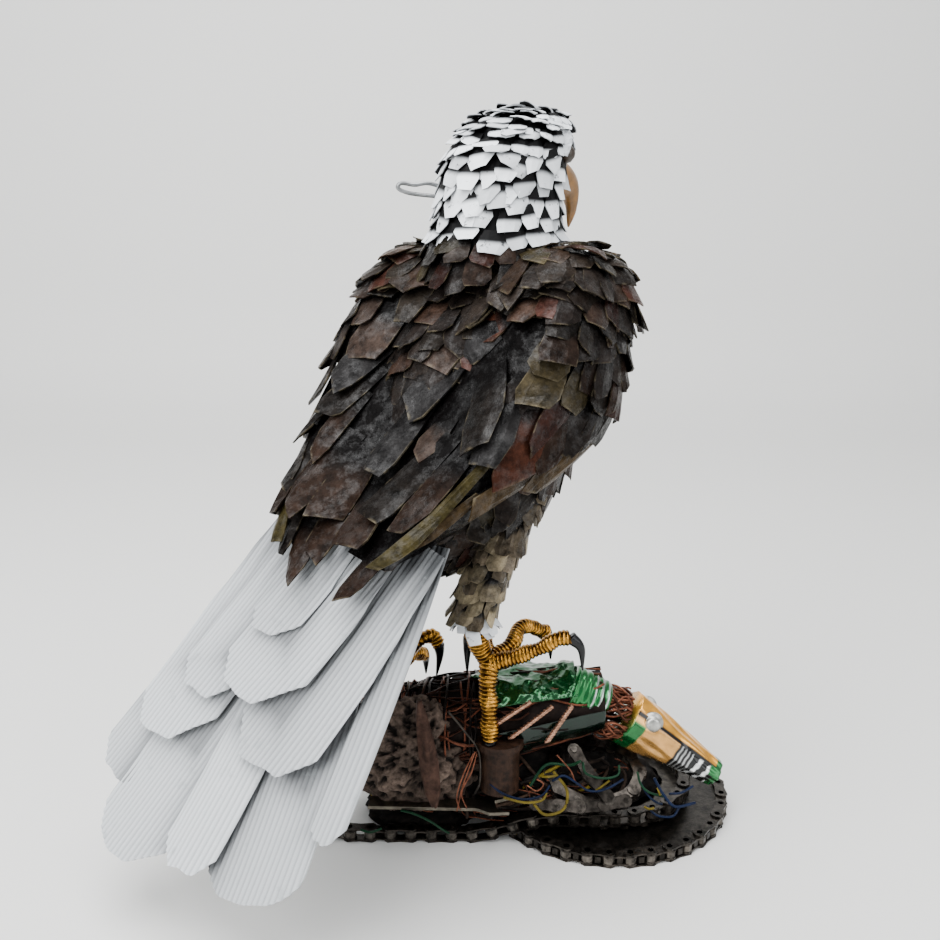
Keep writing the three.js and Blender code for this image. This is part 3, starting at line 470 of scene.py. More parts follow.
PLATE_ACROSS = np.array([-1.0, -0.42, 0.42, 1.0])
PLATE_ROWS = 5
PLATE_WAIST = 0.42  # of the length, where the second row lies; the third lies at the shoulder
PLATE_WIDTHS = np.array([0.72, 0.94, 1.0, 0.0, 0.0])  # of the half-width in each row, up to the shoulder

TIP_SPREAD, TIP_LEAST, TIP_MOST = 0.14, 0.3, 0.95  # of the width at a plate's tip
SKEW_SPREAD, WARP_SPREAD = 0.06, 0.16
CURL_MEAN, CURL_SPREAD, ARCH_MOST = 0.03, 0.05, 0.2


def plates(
    surface, a, b, width, length, lift, tints, out=1, thickness=0.9, rounded=0.0, twist=0.1, under_shade=0.6,
    shoulders=(0.68, 0.86), proud=0.0, turned_by=0.0, taper=0.62,
):
    """Scales on surface(a, b), each with its root at (a, b) and its tip towards greater b.

    A plate's point lies x half-widths across and u lengths along; the half-width grows from the root to
    a shoulder and is clipped to a shorter tip. Its height over the surface is the lift angle's rise, an arch
    across the plate, a curl of the tip that goes with u squared, and a twist that goes with u times x.
    Its underside is darker, painted shade that also darkens its edges.
    """
    count = len(a)
    each = lambda values: values[:, None, None]
    width, length, lift = (np.broadcast_to(value, count).astype(float) for value in (width, length, lift))
    shoulder = chance.uniform(*shoulders, count)
    tip = np.clip(chance.normal(taper, TIP_SPREAD, (count, 2)), TIP_LEAST, TIP_MOST)
    none = 0 * shoulder
    u = np.stack([none, PLATE_WAIST + none, shoulder, (1 + shoulder) / 2 + 0.05 * rounded, 1 + none], 1)
    x = PLATE_ACROSS[None, None]
    tip_share = np.where(PLATE_ACROSS < 0, tip[:, :1], tip[:, 1:])[:, None]
    clip = np.array([0, 0, 0, 0.5 - 0.38 * rounded, 1.0])[None, :, None]
    wide = np.where(clip > 0, 1 - clip * (1 - tip_share), PLATE_WIDTHS[None, :, None])
    skew = each(chance.normal(0, SKEW_SPREAD, count))
    along = u[:, :, None] * (1 + skew * x)
    half = each(width) / 2
    across_mm, along_mm = x * wide * half, along * each(length)
    turn = each(turned_by + chance.normal(0, twist, count))
    across_mm, along_mm = (
        across_mm * np.cos(turn) - along_mm * np.sin(turn),
        across_mm * np.sin(turn) + along_mm * np.cos(turn),
    )
    per_a, per_b = stretch(surface, a, b)
    at_a = each(a) + across_mm / each(per_a)
    at_b = each(b) + along_mm / each(per_b)
    base = surface(at_a, at_b)
    normal = unit(np.cross(surface(at_a + STEP, at_b) - base, surface(at_a, at_b + STEP) - base)) * out
    arch = each(chance.uniform(0.0, ARCH_MOST, count)) * half * (1 - x**2)
    curl = each(chance.normal(CURL_MEAN, CURL_SPREAD, count)) * each(length) * along**2
    warp = each(chance.normal(0, WARP_SPREAD, count)) * half * x * along
    rise = each(np.sin(lift)) * each(length) * along
    top = base + normal * (np.reshape(proud, (-1, 1, 1)) + rise + arch + curl + warp)[..., None]
    under = top - normal * thickness
    points = np.concatenate([top.reshape(count, -1, 3), under.reshape(count, -1, 3)], 1)
    size = PLATE_ROWS * len(PLATE_ACROSS)
    faces = repeated(two_sided(PLATE_ROWS, len(PLATE_ACROSS), out), count, 2 * size)
    place = np.stack(np.broadcast_arrays((x + 1) / 2, u[:, :, None]), -1)
    place = np.concatenate([place.reshape(count, size, 2)] * 2, 1)
    tints = np.asarray(tints)
    # The underside gets the plate's colour darkened: painted shade
    tint = np.repeat(np.stack([tints, tints * under_shade], 1), size, axis=1)
    return points.reshape(-1, 3), faces.tolist(), {"sheet": place.reshape(-1, 2), "tint": tint.reshape(-1, 3)}


def stretch(surface, a, b):
    """Millimetres that a surface runs for a step of a and for a step of b, at each place."""
    here = surface(a, b)
    per_a = np.linalg.norm(surface(a + STEP, b) - here, axis=-1) / STEP
    return per_a, np.linalg.norm(surface(a, b + STEP) - here, axis=-1) / STEP


BROWNS = palette("#2c2623", "#38302b", "#3d3029", "#26211d", "#4d3a30", "#4c3029", "#443c2a")
BROWN_SHARES = np.array([0.26, 0.2, 0.14, 0.2, 0.06, 0.09, 0.05])
BROWN_STRENGTH, WHITE_STRENGTH, THIGH_STRENGTH = (0.16, 0.5), (0.6, 1.08), (0.45, 1.3)
WIDTH_STRETCH, LENGTH_STRETCH = (0.82, 1.2), (0.85, 1.18)


def brown_tints(count):
    """A random plate colour for each of count plates, a little lighter or darker."""
    chosen = BROWNS[chance.choice(len(BROWNS), count, p=BROWN_SHARES)]
    return chosen * chance.uniform(*BROWN_STRENGTH, (count, 1))


def white_tints(count):
    """Whites of thin and thick paint."""
    return linear("#e9edf1") * chance.uniform(*WHITE_STRENGTH, (count, 1))


def rows_on(surface, b_stops, sizes, a_stops, overlap, fill=0.86):
    """Places for rows of scales from the last row up: arrays of a, b, width and length.

    A row's scale size is read from sizes (at b, width, length). Rows are a share of the length apart, and
    each row is shifted by half a scale against the one before.
    """
    first, last = b_stops
    b = last
    found = []
    odd = 0
    while b > first:
        width = np.interp(b, sizes[0], sizes[1])
        length = np.interp(b, sizes[0], sizes[2])
        line = np.linspace(*a_stops, 40)
        run = surface(line, np.full(40, b))
        reach = np.linalg.norm(np.diff(run, axis=0), axis=1).sum()
        count = max(int(reach / (width * fill)), 2)
        a = a_stops[0] + (np.arange(count) + 0.25 + 0.5 * odd) / count * (a_stops[1] - a_stops[0])
        down = surface(np.full(2, np.mean(a_stops)), np.array([b, b + 0.01]))
        per_b = np.linalg.norm(np.diff(down, axis=0)) / 0.01
        found.append(np.stack([a, np.full(count, b), np.full(count, width), np.full(count, length)]))
        b -= length * (1 - overlap) / per_b
        odd = 1 - odd
    return np.concatenate(found, 1)


def loosened(places, across, along):
    """Scale places and sizes with small random shifts and stretches."""
    a, b, width, length = places
    count = len(a)
    return (
        a + chance.normal(0, across, count),
        b + chance.normal(0, along, count),
        width * chance.uniform(*WIDTH_STRETCH, count),
        length * chance.uniform(*LENGTH_STRETCH, count),
    )


# Eagle's surfaces

TORSO_CENTRE = np.array([0.0, 35.0, 262.0])
TORSO_LEAN = np.radians(66)
TORSO_HALF = (64.0, 100.0, 56.0)
TORSO_SHOULDERS = 0.1


def torso(angle, low):
    """Egg: angle from the breast, low the latitude turned over; wider by a tenth on top, leaning forward."""
    up, level = -np.sin(low), np.cos(low)
    axis = np.array([0, np.cos(TORSO_LEAN), np.sin(TORSO_LEAN)])
    front = np.array([0, np.sin(TORSO_LEAN), -np.cos(TORSO_LEAN)])
    right = level * np.sin(angle) * TORSO_HALF[0] * (1 + TORSO_SHOULDERS * up)
    return stood(
        TORSO_CENTRE
        + right[..., None] * np.array([1.0, 0, 0])
        + (up * TORSO_HALF[1])[..., None] * axis
        + (level * np.cos(angle) * TORSO_HALF[2])[..., None] * front
    )


WING_STATIONS = np.array(
    [
        [(14, 48, 352), (44, 46, 362), (54, 74, 360), (46, 98, 348)],
        [(12, 36, 352), (64, 32, 354), (77, 72, 345), (63, 104, 333)],
        [(10, 8, 322), (75, 3, 321), (88, 54, 302), (70, 92, 283)],
        [(9, -24, 276), (69, -28, 277), (88, 24, 260), (75, 56, 242)],
        [(8, -64, 226), (51, -75, 222), (62, -33, 220), (53, -9, 218)],
        [(7, -102, 184), (27, -104, 182), (32, -88, 186), (28, -74, 190)],
    ],
    float,
)
RIGHT_OVERLAP = 16.0


def wing(side):
    """A wing's surface: a Catmull-Rom net of stations from the shoulder to the tip, spine to leading edge."""
    stations = WING_STATIONS.copy()
    if side > 0:
        stations[:, 0, 0] -= RIGHT_OVERLAP * np.linspace(0, 1, len(stations))

    def surface(c, s):
        rows, columns = stations.shape[:2]
        local = np.einsum("...i,...j,ijk->...k", spline(rows, s), spline(columns, c), stations)
        return stood(local * np.array([side, 1, 1]))

    return surface


# Height, forward place, half-length and half-width of the hood's rings, from its hem to the crown
HEAD_RINGS = np.array(
    [
        (350, 52, 42, 40),
        (366, 53, 38.5, 37),
        (390, 57, 38, 34),
        (410, 65, 40.5, 32.5),
        (426, 75, 37.5, 27.5),
        (436, 82, 26, 19),
        (439.5, 84, 2, 2),
    ],
    float,
)


def hood(angle, down):
    """Head and neck: ellipses whose height and sizes follow a spline; down is 1 at the hem, 0 on top."""
    z, y, long, wide = np.moveaxis(spline(len(HEAD_RINGS), 1 - np.asarray(down)) @ HEAD_RINGS, -1, 0)
    return stood(np.stack([np.sin(angle) * wide, y + np.cos(angle) * long, z + 0 * angle], -1))


THIGH_LINE = np.array([(31, 27, 222), (33, 9, 186), (29, -5, 151)], float)
THIGH_RADIUS = np.array([22, 15, 11.5])
ANKLE = np.array([29, -5, 0])
CUFF_TOP, CUFF_DROP, CUFF_RADIUS, CUFF_FLARE = 152, 20, 8.5, 4


def thigh(side):
    """A leg: a level circle, whose middle and radius run along a spline from the belly to the ankle."""

    def surface(angle, down):
        weights = spline(len(THIGH_LINE), down)
        middle, radius = weights @ THIGH_LINE, weights @ THIGH_RADIUS
        ring = np.stack([np.sin(angle), np.cos(angle), 0 * angle], -1) * radius[..., None]
        return stood((middle + ring) * np.array([side, 1, 1]))

    return surface


def ankle(side):
    """A short skirt round the ankle that widens downwards."""

    def surface(angle, down):
        radius = CUFF_RADIUS + CUFF_FLARE * down
        height = CUFF_TOP - CUFF_DROP * down
        ring = np.stack([np.sin(angle) * radius, np.cos(angle) * radius, height], -1)
        return stood((ring + ANKLE) * np.array([side, 1, 1]))

    return surface


def skin(surface, a_span, b_span, rows, columns, inset, out=1):
    """A closed backing under the scales, dark as painted shade where it shows between them: the surface moved
    inwards, in rows of b and columns of a.
    """
    a, b = np.meshgrid(np.linspace(*a_span, columns), np.linspace(*b_span, rows))
    points = surface(a, b)
    return shell(points - normals(points) * out * inset, 1.2, out)


# Eagle: wings, body, legs and head in scales

# Scale sizes: places down the surface, widths and lengths there
WING_SIZES = ([0, 0.12, 0.3, 0.46, 0.62, 0.8, 1], [13, 15, 18, 21, 25, 26, 20], [16, 18, 22, 29, 44, 50, 44])
BODY_SIZES = ([-1.5, -0.9, -0.3, 0.4, 1.2], [12, 15, 17, 16, 13], [14, 19, 24, 24, 18])
NAPE_SIZES = ([0, 1], [13, 13], [19, 19])
THIGH_SIZES = ([0, 1], [12, 9], [17, 13])
CROWN_SIZES = ([0, 0.42], [9, 13], [8, 10])
NECK_SIZES = ([0.4, 0.8], [13, 15], [14, 16.5])
FEATHER_TINTS = {
    "slate": "#1b1a1a",
    "umber": "#1d140f",
    "rust": "#301a12",
    "olive": "#2b2614",
    "ash": "#2f2621",
    "tar": "#110e0c",
    "ochre": "#332819",
}
# The large feathers: place across and along the wing, width, length, turn towards the spine, colour
LONG_FEATHERS = {
    1: [
        (0.20, 0.86, 20, 36, -0.17, "umber"),
        (0.03, 0.76, 29, 46, -0.25, "umber"),
        (0.18, 0.65, 24, 66, 0.26, "tar"),
        (0.27, 0.66, 21, 63, 0.07, "umber"),
        (0.14, 0.62, 19, 27, 0.11, "ash"),
        (0.03, 0.59, 24, 50, 0.06, "slate"),
        (0.08, 0.48, 28, 44, 0.38, "slate"),
        (0.18, 0.50, 25, 57, -0.57, "tar"),
        (0.30, 0.56, 21, 41, -0.28, "slate"),
        (0.36, 0.55, 25, 53, -0.48, "rust"),
        (0.46, 0.57, 20, 41, -0.64, "umber"),
        (0.57, 0.57, 21, 44, -0.8, "umber"),
        (0.03, 0.36, 25, 43, 0.0, "ash"),
        (0.15, 0.37, 29, 20, 0.66, "rust"),
        (0.15, 0.42, 25, 24, 0.83, "slate"),
    ],
    -1: [
        (0.04, 0.8, 24, 42, -0.1, "umber"),
        (0.13, 0.82, 24, 50, -0.2, "umber"),
        (0.05, 0.69, 27, 56, -0.12, "umber"),
        (0.24, 0.78, 20, 52, -0.25, "tar"),
        (0.13, 0.67, 27, 63, -0.36, "umber"),
        (0.25, 0.67, 20, 47, -0.32, "tar"),
        (0.14, 0.59, 17, 46, -0.4, "umber"),
        (0.25, 0.59, 18, 40, -0.5, "tar"),
        (0.12, 0.53, 21, 45, -0.6, "tar"),
        (0.13, 0.48, 25, 40, -0.66, "slate"),
        (0.14, 0.38, 31, 39, -0.32, "ash"),
        (0.26, 0.33, 27, 29, -0.09, "ash"),
    ],
}
EDGE_STRIPS = [
    (0.75, 0.60, 18, 42, 0.45, "ochre"),
    (0.64, 0.70, 18, 36, 0.72, "ochre"),
    (0.47, 0.745, 15, 42, 0.5, "ochre"),
    (0.38, 0.69, 12, 88, 0.15, "olive"),
]


STRIPS_PROUD = np.array([-1.0, -1.6, -2.4, -3.2])


def hand_laid(surface, side, feathers, lift, proud):
    """Single feathers from their list of places, sizes, turns and colours."""
    c, s, width, length, turn = (np.array(column) for column in list(zip(*feathers))[:5])
    tints = np.array([linear(FEATHER_TINTS[feather[5]]) for feather in feathers])
    return plates(
        surface, c, s, width, length, lift, tints,
        out=-side, thickness=1.0, twist=0.02, proud=proud, turned_by=turn, taper=0.7,
    )


def wing_piece(name, side):
    """Backing, rows of scales that grow towards the tip, the large feathers and the strips of the lower edge.

    The rows leave out the zones of the large feathers and strips, and stop at the wing's tip and edge.
    """
    surface = wing(side)
    places = rows_on(surface, (-0.03, 0.76), WING_SIZES, (0.04, 0.93), 0.6)
    c, s = places[:2]
    hand_zone = (c < 0.34) & (s > 0.34) | (s > 0.56) if side > 0 else (c < 0.34) & (s > 0.32)
    strip_zone = (c > 0.4) & (s > 0.6) | (c > 0.8) & (s > 0.44)
    a, b, width, length = loosened(places[:, ~(hand_zone | strip_zone)], 0.02, 0.01)
    count = len(a)
    per_a, per_b = stretch(surface, a, b)
    width = np.minimum(width, 2 * (1.04 - a) * per_a)
    length = np.minimum(length, (0.98 - b) * per_b)
    lift = chance.uniform(0.07, 0.2, count) + np.where(b < 0.25, chance.uniform(0.05, 0.3, count), 0)
    # Rows near the shoulder are lighter and less blue: dust, and painted light from above
    upper = np.clip(1 - b / 0.28, 0, 1)[:, None]
    tints = brown_tints(count) * (1 + upper) * (1 - 0.12 * upper * np.array([0, 0, 1.0]))
    scales = plates(surface, a, b, width, length, lift, tints, out=-side, proud=-3.0)
    large = LONG_FEATHERS[side]
    feathers = hand_laid(surface, side, large, chance.uniform(0.09, 0.17, len(large)), -4.5)
    strips = hand_laid(surface, side, EDGE_STRIPS, 0.05, STRIPS_PROUD)
    # The third strip's root is kept clear of the painted root shade
    strips[2]["sheet"][:, 1] = np.maximum(strips[2]["sheet"][:, 1], 0.5)
    spine = 0.02 if side > 0 else -0.16
    # Near-black backing: painted shade where it shows between the scales; its inner side is brown
    backing = plain(skin(surface, (spine, 0.98), (0, 0.9), 24, 16, 5.0, -side), "#050404", 0.7)
    backing[2]["tint"][len(backing[0]) // 2 :] = linear("#4a3b30")
    surfaces = joined(scales, feathers, strips, backing)
    piece(f"{name}_wing_plates", surfaces, STEEL_SHEET, [f"{name}_wing"], False)


wing_piece("right", 1)
wing_piece("left", -1)

THIGH_BROWNS = palette("#6d6350", "#5c5244", "#7e735c", "#4e463a")
# Near-black under the body's scales: painted shade where it shows between them
UNDER_SCALES_SHADE = "#15110f"


def body_piece():
    """Torso, nape and thighs in scales, over a dark backing."""
    all_round = (0, TURN)
    a, b, width, length = loosened(rows_on(torso, (-1.35, 1.2), BODY_SIZES, all_round, 0.5), 0.03, 0.02)
    lift = chance.uniform(0.08, 0.22, len(a))
    parts = [plates(torso, a, b, width, length, lift, brown_tints(len(a)), thickness=0.8)]
    parts.append(plain(skin(torso, all_round, (-1.54, 1.54), 30, 40, 1.5), UNDER_SCALES_SHADE, 0.5))
    a, b, width, length = loosened(rows_on(hood, (0.8, 0.95), NAPE_SIZES, all_round, 0.5), 0.04, 0.01)
    lift = chance.uniform(0.05, 0.3, len(a))
    parts.append(plates(hood, a, b, width, length, lift, brown_tints(len(a)), thickness=0.8))
    for side in (1, -1):
        leg = thigh(side)
        a, b, width, length = loosened(rows_on(leg, (-0.1, 0.92), THIGH_SIZES, all_round, 0.5), 0.05, 0.02)
        chosen = chance.integers(0, len(THIGH_BROWNS), len(a))
        tints = THIGH_BROWNS[chosen] * chance.uniform(*THIGH_STRENGTH, (len(a), 1))
        lift = chance.uniform(0.08, 0.3, len(a))
        parts.append(plates(leg, a, b, width, length, lift, tints, out=side, thickness=0.7))
        parts.append(plain(skin(leg, all_round, (0, 1), 12, 20, 1.0, side), UNDER_SCALES_SHADE, 0.5))
    piece("body_plates", joined(*parts), STEEL_SHEET, ["body"], False)


body_piece()

EYE_ANGLE, EYE_DOWN = 0.95, 0.4
PASTE_WHITE = "#d6dade"


def head_piece():
    """Hood of white scraps: curled ovals on the crown, larger clipped plates on the neck, paste on the face.

    Each scrap's root carries painted shade and the backing under them is near-black, painted shade, so black
    shows between the rows. The paste stands out by ridged noise and by a brow that falls off as a bell round
    its middle; scraps leave the eyes free.
    """
    parts = []
    for b_stops, sizes, overlap, fill, rounded, lifts in (
        ((0.03, 0.42), CROWN_SIZES, 0.3, 0.84, 1.0, (0.1, 0.55)),
        ((0.4, 0.79), NECK_SIZES, 0.42, 0.86, 0.0, (0.08, 0.24)),
    ):
        places = rows_on(hood, b_stops, sizes, (0, TURN), overlap, fill)
        aside = np.abs((places[0] + np.pi) % TURN - np.pi)
        eye = (np.abs(aside - EYE_ANGLE) < 0.3) & (np.abs(places[1] - EYE_DOWN) < 0.11)
        cheek = (aside < 1.45) & (np.abs(places[1] - 0.34) < 0.14) & (chance.random(len(aside)) < 0.45)
        a, b, width, length = loosened(places[:, ~(eye | cheek)], 0.06, 0.014)
        lift = chance.uniform(*lifts, len(a)) * np.clip(b / 0.2, 0.2, 1)
        scraps = plates(
            hood, a, b, width, length, lift, white_tints(len(a)),
            thickness=0.8, rounded=rounded, under_shade=0.02, shoulders=(0.5, 0.62), taper=0.56,
        )
        parts.append(scraps)
    a, b = np.meshgrid(np.linspace(-1.4, 1.4, 60), np.linspace(0.1, 0.5, 30))
    face = hood(a, b)
    brow = 4.0 * np.exp(-(((np.abs(a) - 1.2) / 0.22) ** 2) - ((b - 0.42) / 0.1) ** 2)
    proud = 0.6 + 0.9 * rough(face, 9, 3, True) + brow
    parts.append(plain(shell(face + normals(face) * proud[..., None], 1.2), PASTE_WHITE, 0.9))
    crown = turned([(0.01, 436), (10, 436), (9, 438.6), (0.01, 440)], 9, stood((0, 84, 0)))
    parts.append(plain(crown, PASTE_WHITE, 0.9))
    # Near-black backing: painted shade where it shows between the scraps
    parts.append(plain(skin(hood, (0, TURN), (0.02, 0.92), 24, 36, 1.5), "#08080a", 0.5))
    piece("head_scraps", joined(*parts), WHITE_SCRAP, ["head"], False)


head_piece()

CUFF_SCRAPS = 11  # in each of two rows
for side_name, side in (("right", 1), ("left", -1)):
    around = np.linspace(0, TURN, CUFF_SCRAPS, endpoint=False)
    around = np.concatenate([around, around + 0.3])
    down = np.repeat([0.05, -0.15], CUFF_SCRAPS)
    count = 2 * CUFF_SCRAPS
    length, lift = chance.uniform(13, 18, count), chance.uniform(0.05, 0.3, count)
    scraps = plates(
        ankle(side), around, down, 5.2, length, lift, white_tints(count),
        out=side, thickness=0.6, under_shade=0.1, twist=0.2,
    )
    covered = [f"{side_name}_ankle_feathers"]
    piece(f"{side_name}_ankle_scraps", scraps, WHITE_SCRAP, covered, False)

# Beak, eyes and the wire at the neck


BEAK_LINE = [(0, 94, 397), (0, 112, 402), (0, 130, 396), (0, 136, 383), (0, 133, 369)]
BEAK_RADIUS, BEAK_TIP, BEAK_SQUEEZE = 13.5, 0.8, 0.74


def beak():
    """Hooked beak: rings along a bent line that shrink to the tip and are squeezed sideways."""
    rows, columns = 36, 24
    t = np.linspace(0, 1, rows)
    radius = BEAK_RADIUS * (1 - t**1.6) + BEAK_TIP
    angle = np.arange(columns) * TURN / columns
    radii = radius[:, None] * (0.86 + 0.14 * np.abs(np.cos(angle)))
    points, faces, more = tubes(smooth(BEAK_LINE, rows), radii[None], columns)
    return plain((stood(points * np.array([BEAK_SQUEEZE, 1, 1])), faces, more), "#7f5722")


EYE = np.array([26.5, 86.5, 412])
EYE_PROFILE = [(0.01, -6), (3.4, -5), (5.6, -2.2), (6, 0), (5.6, 2.2), (3.4, 5), (0.01, 6)]

piece("beak_horn", beak(), BEAK_PAINT, ["beak"])
for side_name, side in (("right", 1), ("left", -1)):
    points, faces, _ = turned(EYE_PROFILE, 16, EYE)
    points = stood(points * np.array([side, 1, 1]))
    faces = faces if side > 0 else [face[::-1] for face in faces]
    bead = plain((points, faces, {}), "#2a1d10")
    piece(f"{side_name}_eye_bead", bead, BEAK_PAINT, [f"{side_name}_eye"])

HAIRPIN = [
    (-33, 43, 387), (-48, 31, 389), (-54, 26, 392), (-52, 27, 395),
    (-46, 32, 394), (-40, 37, 395), (-34, 43, 393),
]
hairpin = plain(tubes(stood(smooth(HAIRPIN, 40)), 1.25, 8), "#8d8f90")
piece("neck_wire", hairpin, DULL_STEEL, ["neck_wire_loop"])

# Tail: corrugated plates in one leaning plane

TAIL_ROOT = np.array([0.0, -58.0, 201.0])
TAIL_SLOPE = np.arctan2(153, 115)
TAIL_WAY = np.array([0, -np.cos(TAIL_SLOPE), -np.sin(TAIL_SLOPE)])
TAIL_UP = np.array([0, -np.sin(TAIL_SLOPE), np.cos(TAIL_SLOPE)])
TAIL_LAYER, TAIL_GAUGE = 2.6, 0.7
FLUTE, FLUTE_DEPTH = 3.3, 0.4
FLUTE_COLUMNS = 6  # points across each flute
CLIPPED_CORNER, OBLIQUE = 0.34, 0.12  # of the plate's width
PLATE_SHADOW_REACH = 7
# Root and tip across and down the tail, width, layer from the underside, how round the end is
TAIL_FEATHERS = [
    ((-56, 20), (-108, 171), 50, 0, 0.3),
    ((-32, 40), (-78, 205), 62, 1, 0.6),
    ((2, 50), (16, 195), 68, 0, 0.8),
    ((-12, 50), (-26, 195), 38, 2, 0.0),
    ((47, -6), (52, 152), 20, 1, 0.2),
    ((-42, 0), (-82, 140), 60, 3, 0.1),
    ((36, -8), (-4, 133), 62, 3, 0.1),
    ((-26, -6), (-66, 111), 44, 4, 0.0),
    ((17, -12), (-29, 104), 60, 5, 0.1),
    ((2, -20), (-31, 69), 36, 6, 0.1),
]


def painted_plate_shadow(flat, layer):
    """Painted shadow round the plates laid over a layer: strongest at their edges, falling off with the
    distance.
    """
    shade = np.zeros(flat.shape[:-1])
    for root, tip, width, over, _ in TAIL_FEATHERS:
        if over > layer:
            way = unit(np.subtract(tip, root))
            ahead = (flat - root) @ way - 0.95 * np.linalg.norm(np.subtract(tip, root))
            aside = np.abs((flat - root) @ np.array([way[1], -way[0]])) - 0.48 * width
            away = np.maximum(np.maximum(ahead, aside), 0)
            shade = np.maximum(shade, 0.62 * np.exp(-away / PLATE_SHADOW_REACH))
    return shade


def tail_feather(root, tip, width, layer, rounding, seed):
    """A corrugated plate: flutes run along it as a sine of the place across; its end is clipped or rounded.

    The length at a place across falls off towards the corners; the plate bends down a little at its edges.
    It is darker towards its root, with painted shadow round each plate laid over it and painted shade in the
    grooves of its flutes. It starts under the wing.
    """
    root, tip = np.array(root, float), np.array(tip, float)
    way = unit(tip - root)
    across = np.array([way[1], -way[0]])
    length = np.linalg.norm(tip - root)
    v = np.linspace(-1, 1, int(width / FLUTE * FLUTE_COLUMNS) + 1)[None]
    u = np.linspace(0, 1, 26)[:, None]
    corner = np.maximum(np.abs(v + 0.12 * np.sin(seed)) - 0.45, 0) / 0.55
    clipped = CLIPPED_CORNER * corner + OBLIQUE * v
    round_end = CLIPPED_CORNER * (1 - np.sqrt(np.maximum(1 - v**2, 0)))
    end = 1 - (clipped * (1 - rounding) + round_end * rounding) * width / length
    ragged = 0.006 * np.sin(4 * v + seed) + 0.002 * np.sin(11 * v + 2 * seed)
    half = width / 2 * (0.78 + 0.22 * np.minimum(u / 0.6, 1))
    hidden = max(-root[1] - 4, 0)
    run = hidden + u * (length * (end + ragged) - hidden)
    flat = root + run[..., None] * way + (v * half)[..., None] * across
    wave = np.sin(v * half * TURN / FLUTE)
    bend = 2.2 * (u**3 - v**2) + 0.4 * np.sin(2.4 * u + seed) + 0.4 * np.sin(3 * v + 5 * u + 2 * seed)
    height = layer * TAIL_LAYER + 2 + FLUTE_DEPTH * wave + bend * u
    local = flat[..., :1] * np.array([1.0, 0, 0]) + flat[..., 1:] * TAIL_WAY + height[..., None] * TAIL_UP
    # Darker towards the root, and painted shadow round the plates laid over this one
    root_dark = np.clip(1.1 - flat[..., 1] / 75, 0, 1) ** 2 * (0.75 + 0.25 * np.sin(v * half * TURN / 13 + seed))
    dark = np.clip(np.maximum(root_dark, painted_plate_shadow(flat, layer)), 0, 0.92)
    # Painted shade: darker in the grooves of the flutes; each plate also a little lighter or darker at random
    tone = (0.86 + 0.12 * np.sin(5.3 * seed)) * (0.88 + 0.12 * wave)
    tint = blend(linear("#c3c7ca") * tone[..., None], linear("#2c2e30"), dark)
    return shell(stood(TAIL_ROOT + local), TAIL_GAUGE, 1, {"tint": tint})


for i, (root, tip, width, layer, rounding) in enumerate(TAIL_FEATHERS):
    surface = tail_feather(root, tip, width, layer, rounding, 1.7 * i)
    piece(f"tail_plate_{i + 1}", surface, WHITE_SHEET, [f"tail_feather_{i + 1}"], False)

# Feet: toes bound with wire, and claws

RIGHT_TOES = {
    "inner": ((-14, 12, 8), (-25, 19, 9), (-31, 19, 2)),
    "middle": ((3, 18, 8), (0, 33, 13), (5, 52, 4)),
    "outer": ((21, 13, 9), (33, 20, 17), (40, 25, 19)),
    "hind": ((2, -5, -8), (6, -9, -26), (8, -11, -43)),
}
RIGHT_CLAWS = {
    "inner": ((-32, 18.5, -7), (-31, 17, -22)),
    "middle": ((6, 55, -4), (7, 55, -15)),
    "outer": ((45, 29, 12), (46, 30, -2)),
    "hind": ((8, -7, -49), (8, 0, -53)),
}
# The left foot is mirrored, but its inner toe arches high and its middle toe lies low
LEFT_TOES = {
    **RIGHT_TOES,
    "inner": ((-18, 7, 21), (-22.5, 15, 24), (-26, 18, 18)),
    "middle": ((4, 16, -2), (6, 30, -2), (9, 44, -8)),
}
LEFT_CLAWS = {
    **RIGHT_CLAWS,
    "inner": ((-26.5, 18.5, 10), (-25, 17, -4)),
    "middle": ((10, 47, -14), (10, 47, -24)),
}
FEET_PLANS = {
    "right": (1, np.array([37, 0, 116]), RIGHT_TOES, RIGHT_CLAWS),
    "left": (-1, np.array([-46, 2, 88]), LEFT_TOES, LEFT_CLAWS),
}
WRAP = 2.3
SHANK_RADII, TOE_RADII, HIND_RADII = [7, 6, 6], [6, 4.6, 4.2, 4.6], [6, 5.4, 5.2, 5.2]
CLAW_RADIUS, CLAW_TIP = 3.4, 0.5


def bound(points, radii, sides=18):
    """A limb bound with wire: its radius runs along the limb, with a ripple of a wire's width up a helix; its
    colour is painted shade in the grooves and painted highlight on the turns.
    """
    path = even(smooth(points, 80), 8)
    length = np.linalg.norm(np.diff(path, axis=0), axis=1).sum()
    rows = int(length / WRAP * 6)
    path = even(smooth(points, 300), rows)
    run = np.linspace(0, length, rows)[:, None]
    angle = np.arange(sides)[None] / sides
    wire = np.abs(np.sin(np.pi * (run / WRAP + angle)))
    radius = np.interp(np.linspace(0, 1, rows), np.linspace(0, 1, len(radii)), radii)[:, None]
    crooked = 0.35 * np.sin(run / 3.1 + 9 * angle) + 0.3 * np.sin(run / 1.7 + 2 * np.sin(run / 9))
    points, faces, _ = tubes(path, (radius - 0.5 + 0.8 * wire + crooked)[None], sides)
    # Painted light: dark brown in the grooves between turns as painted shade, gold on their ridges as painted
    # highlight
    bright = np.clip(wire + 0.6 * crooked, 0, 1) ** 1.5
    tint = blend(linear("#3a2109"), linear("#d49a3e"), bright).reshape(-1, 3)
    return points, faces, {"tint": np.concatenate([tint, tint[:2]])}


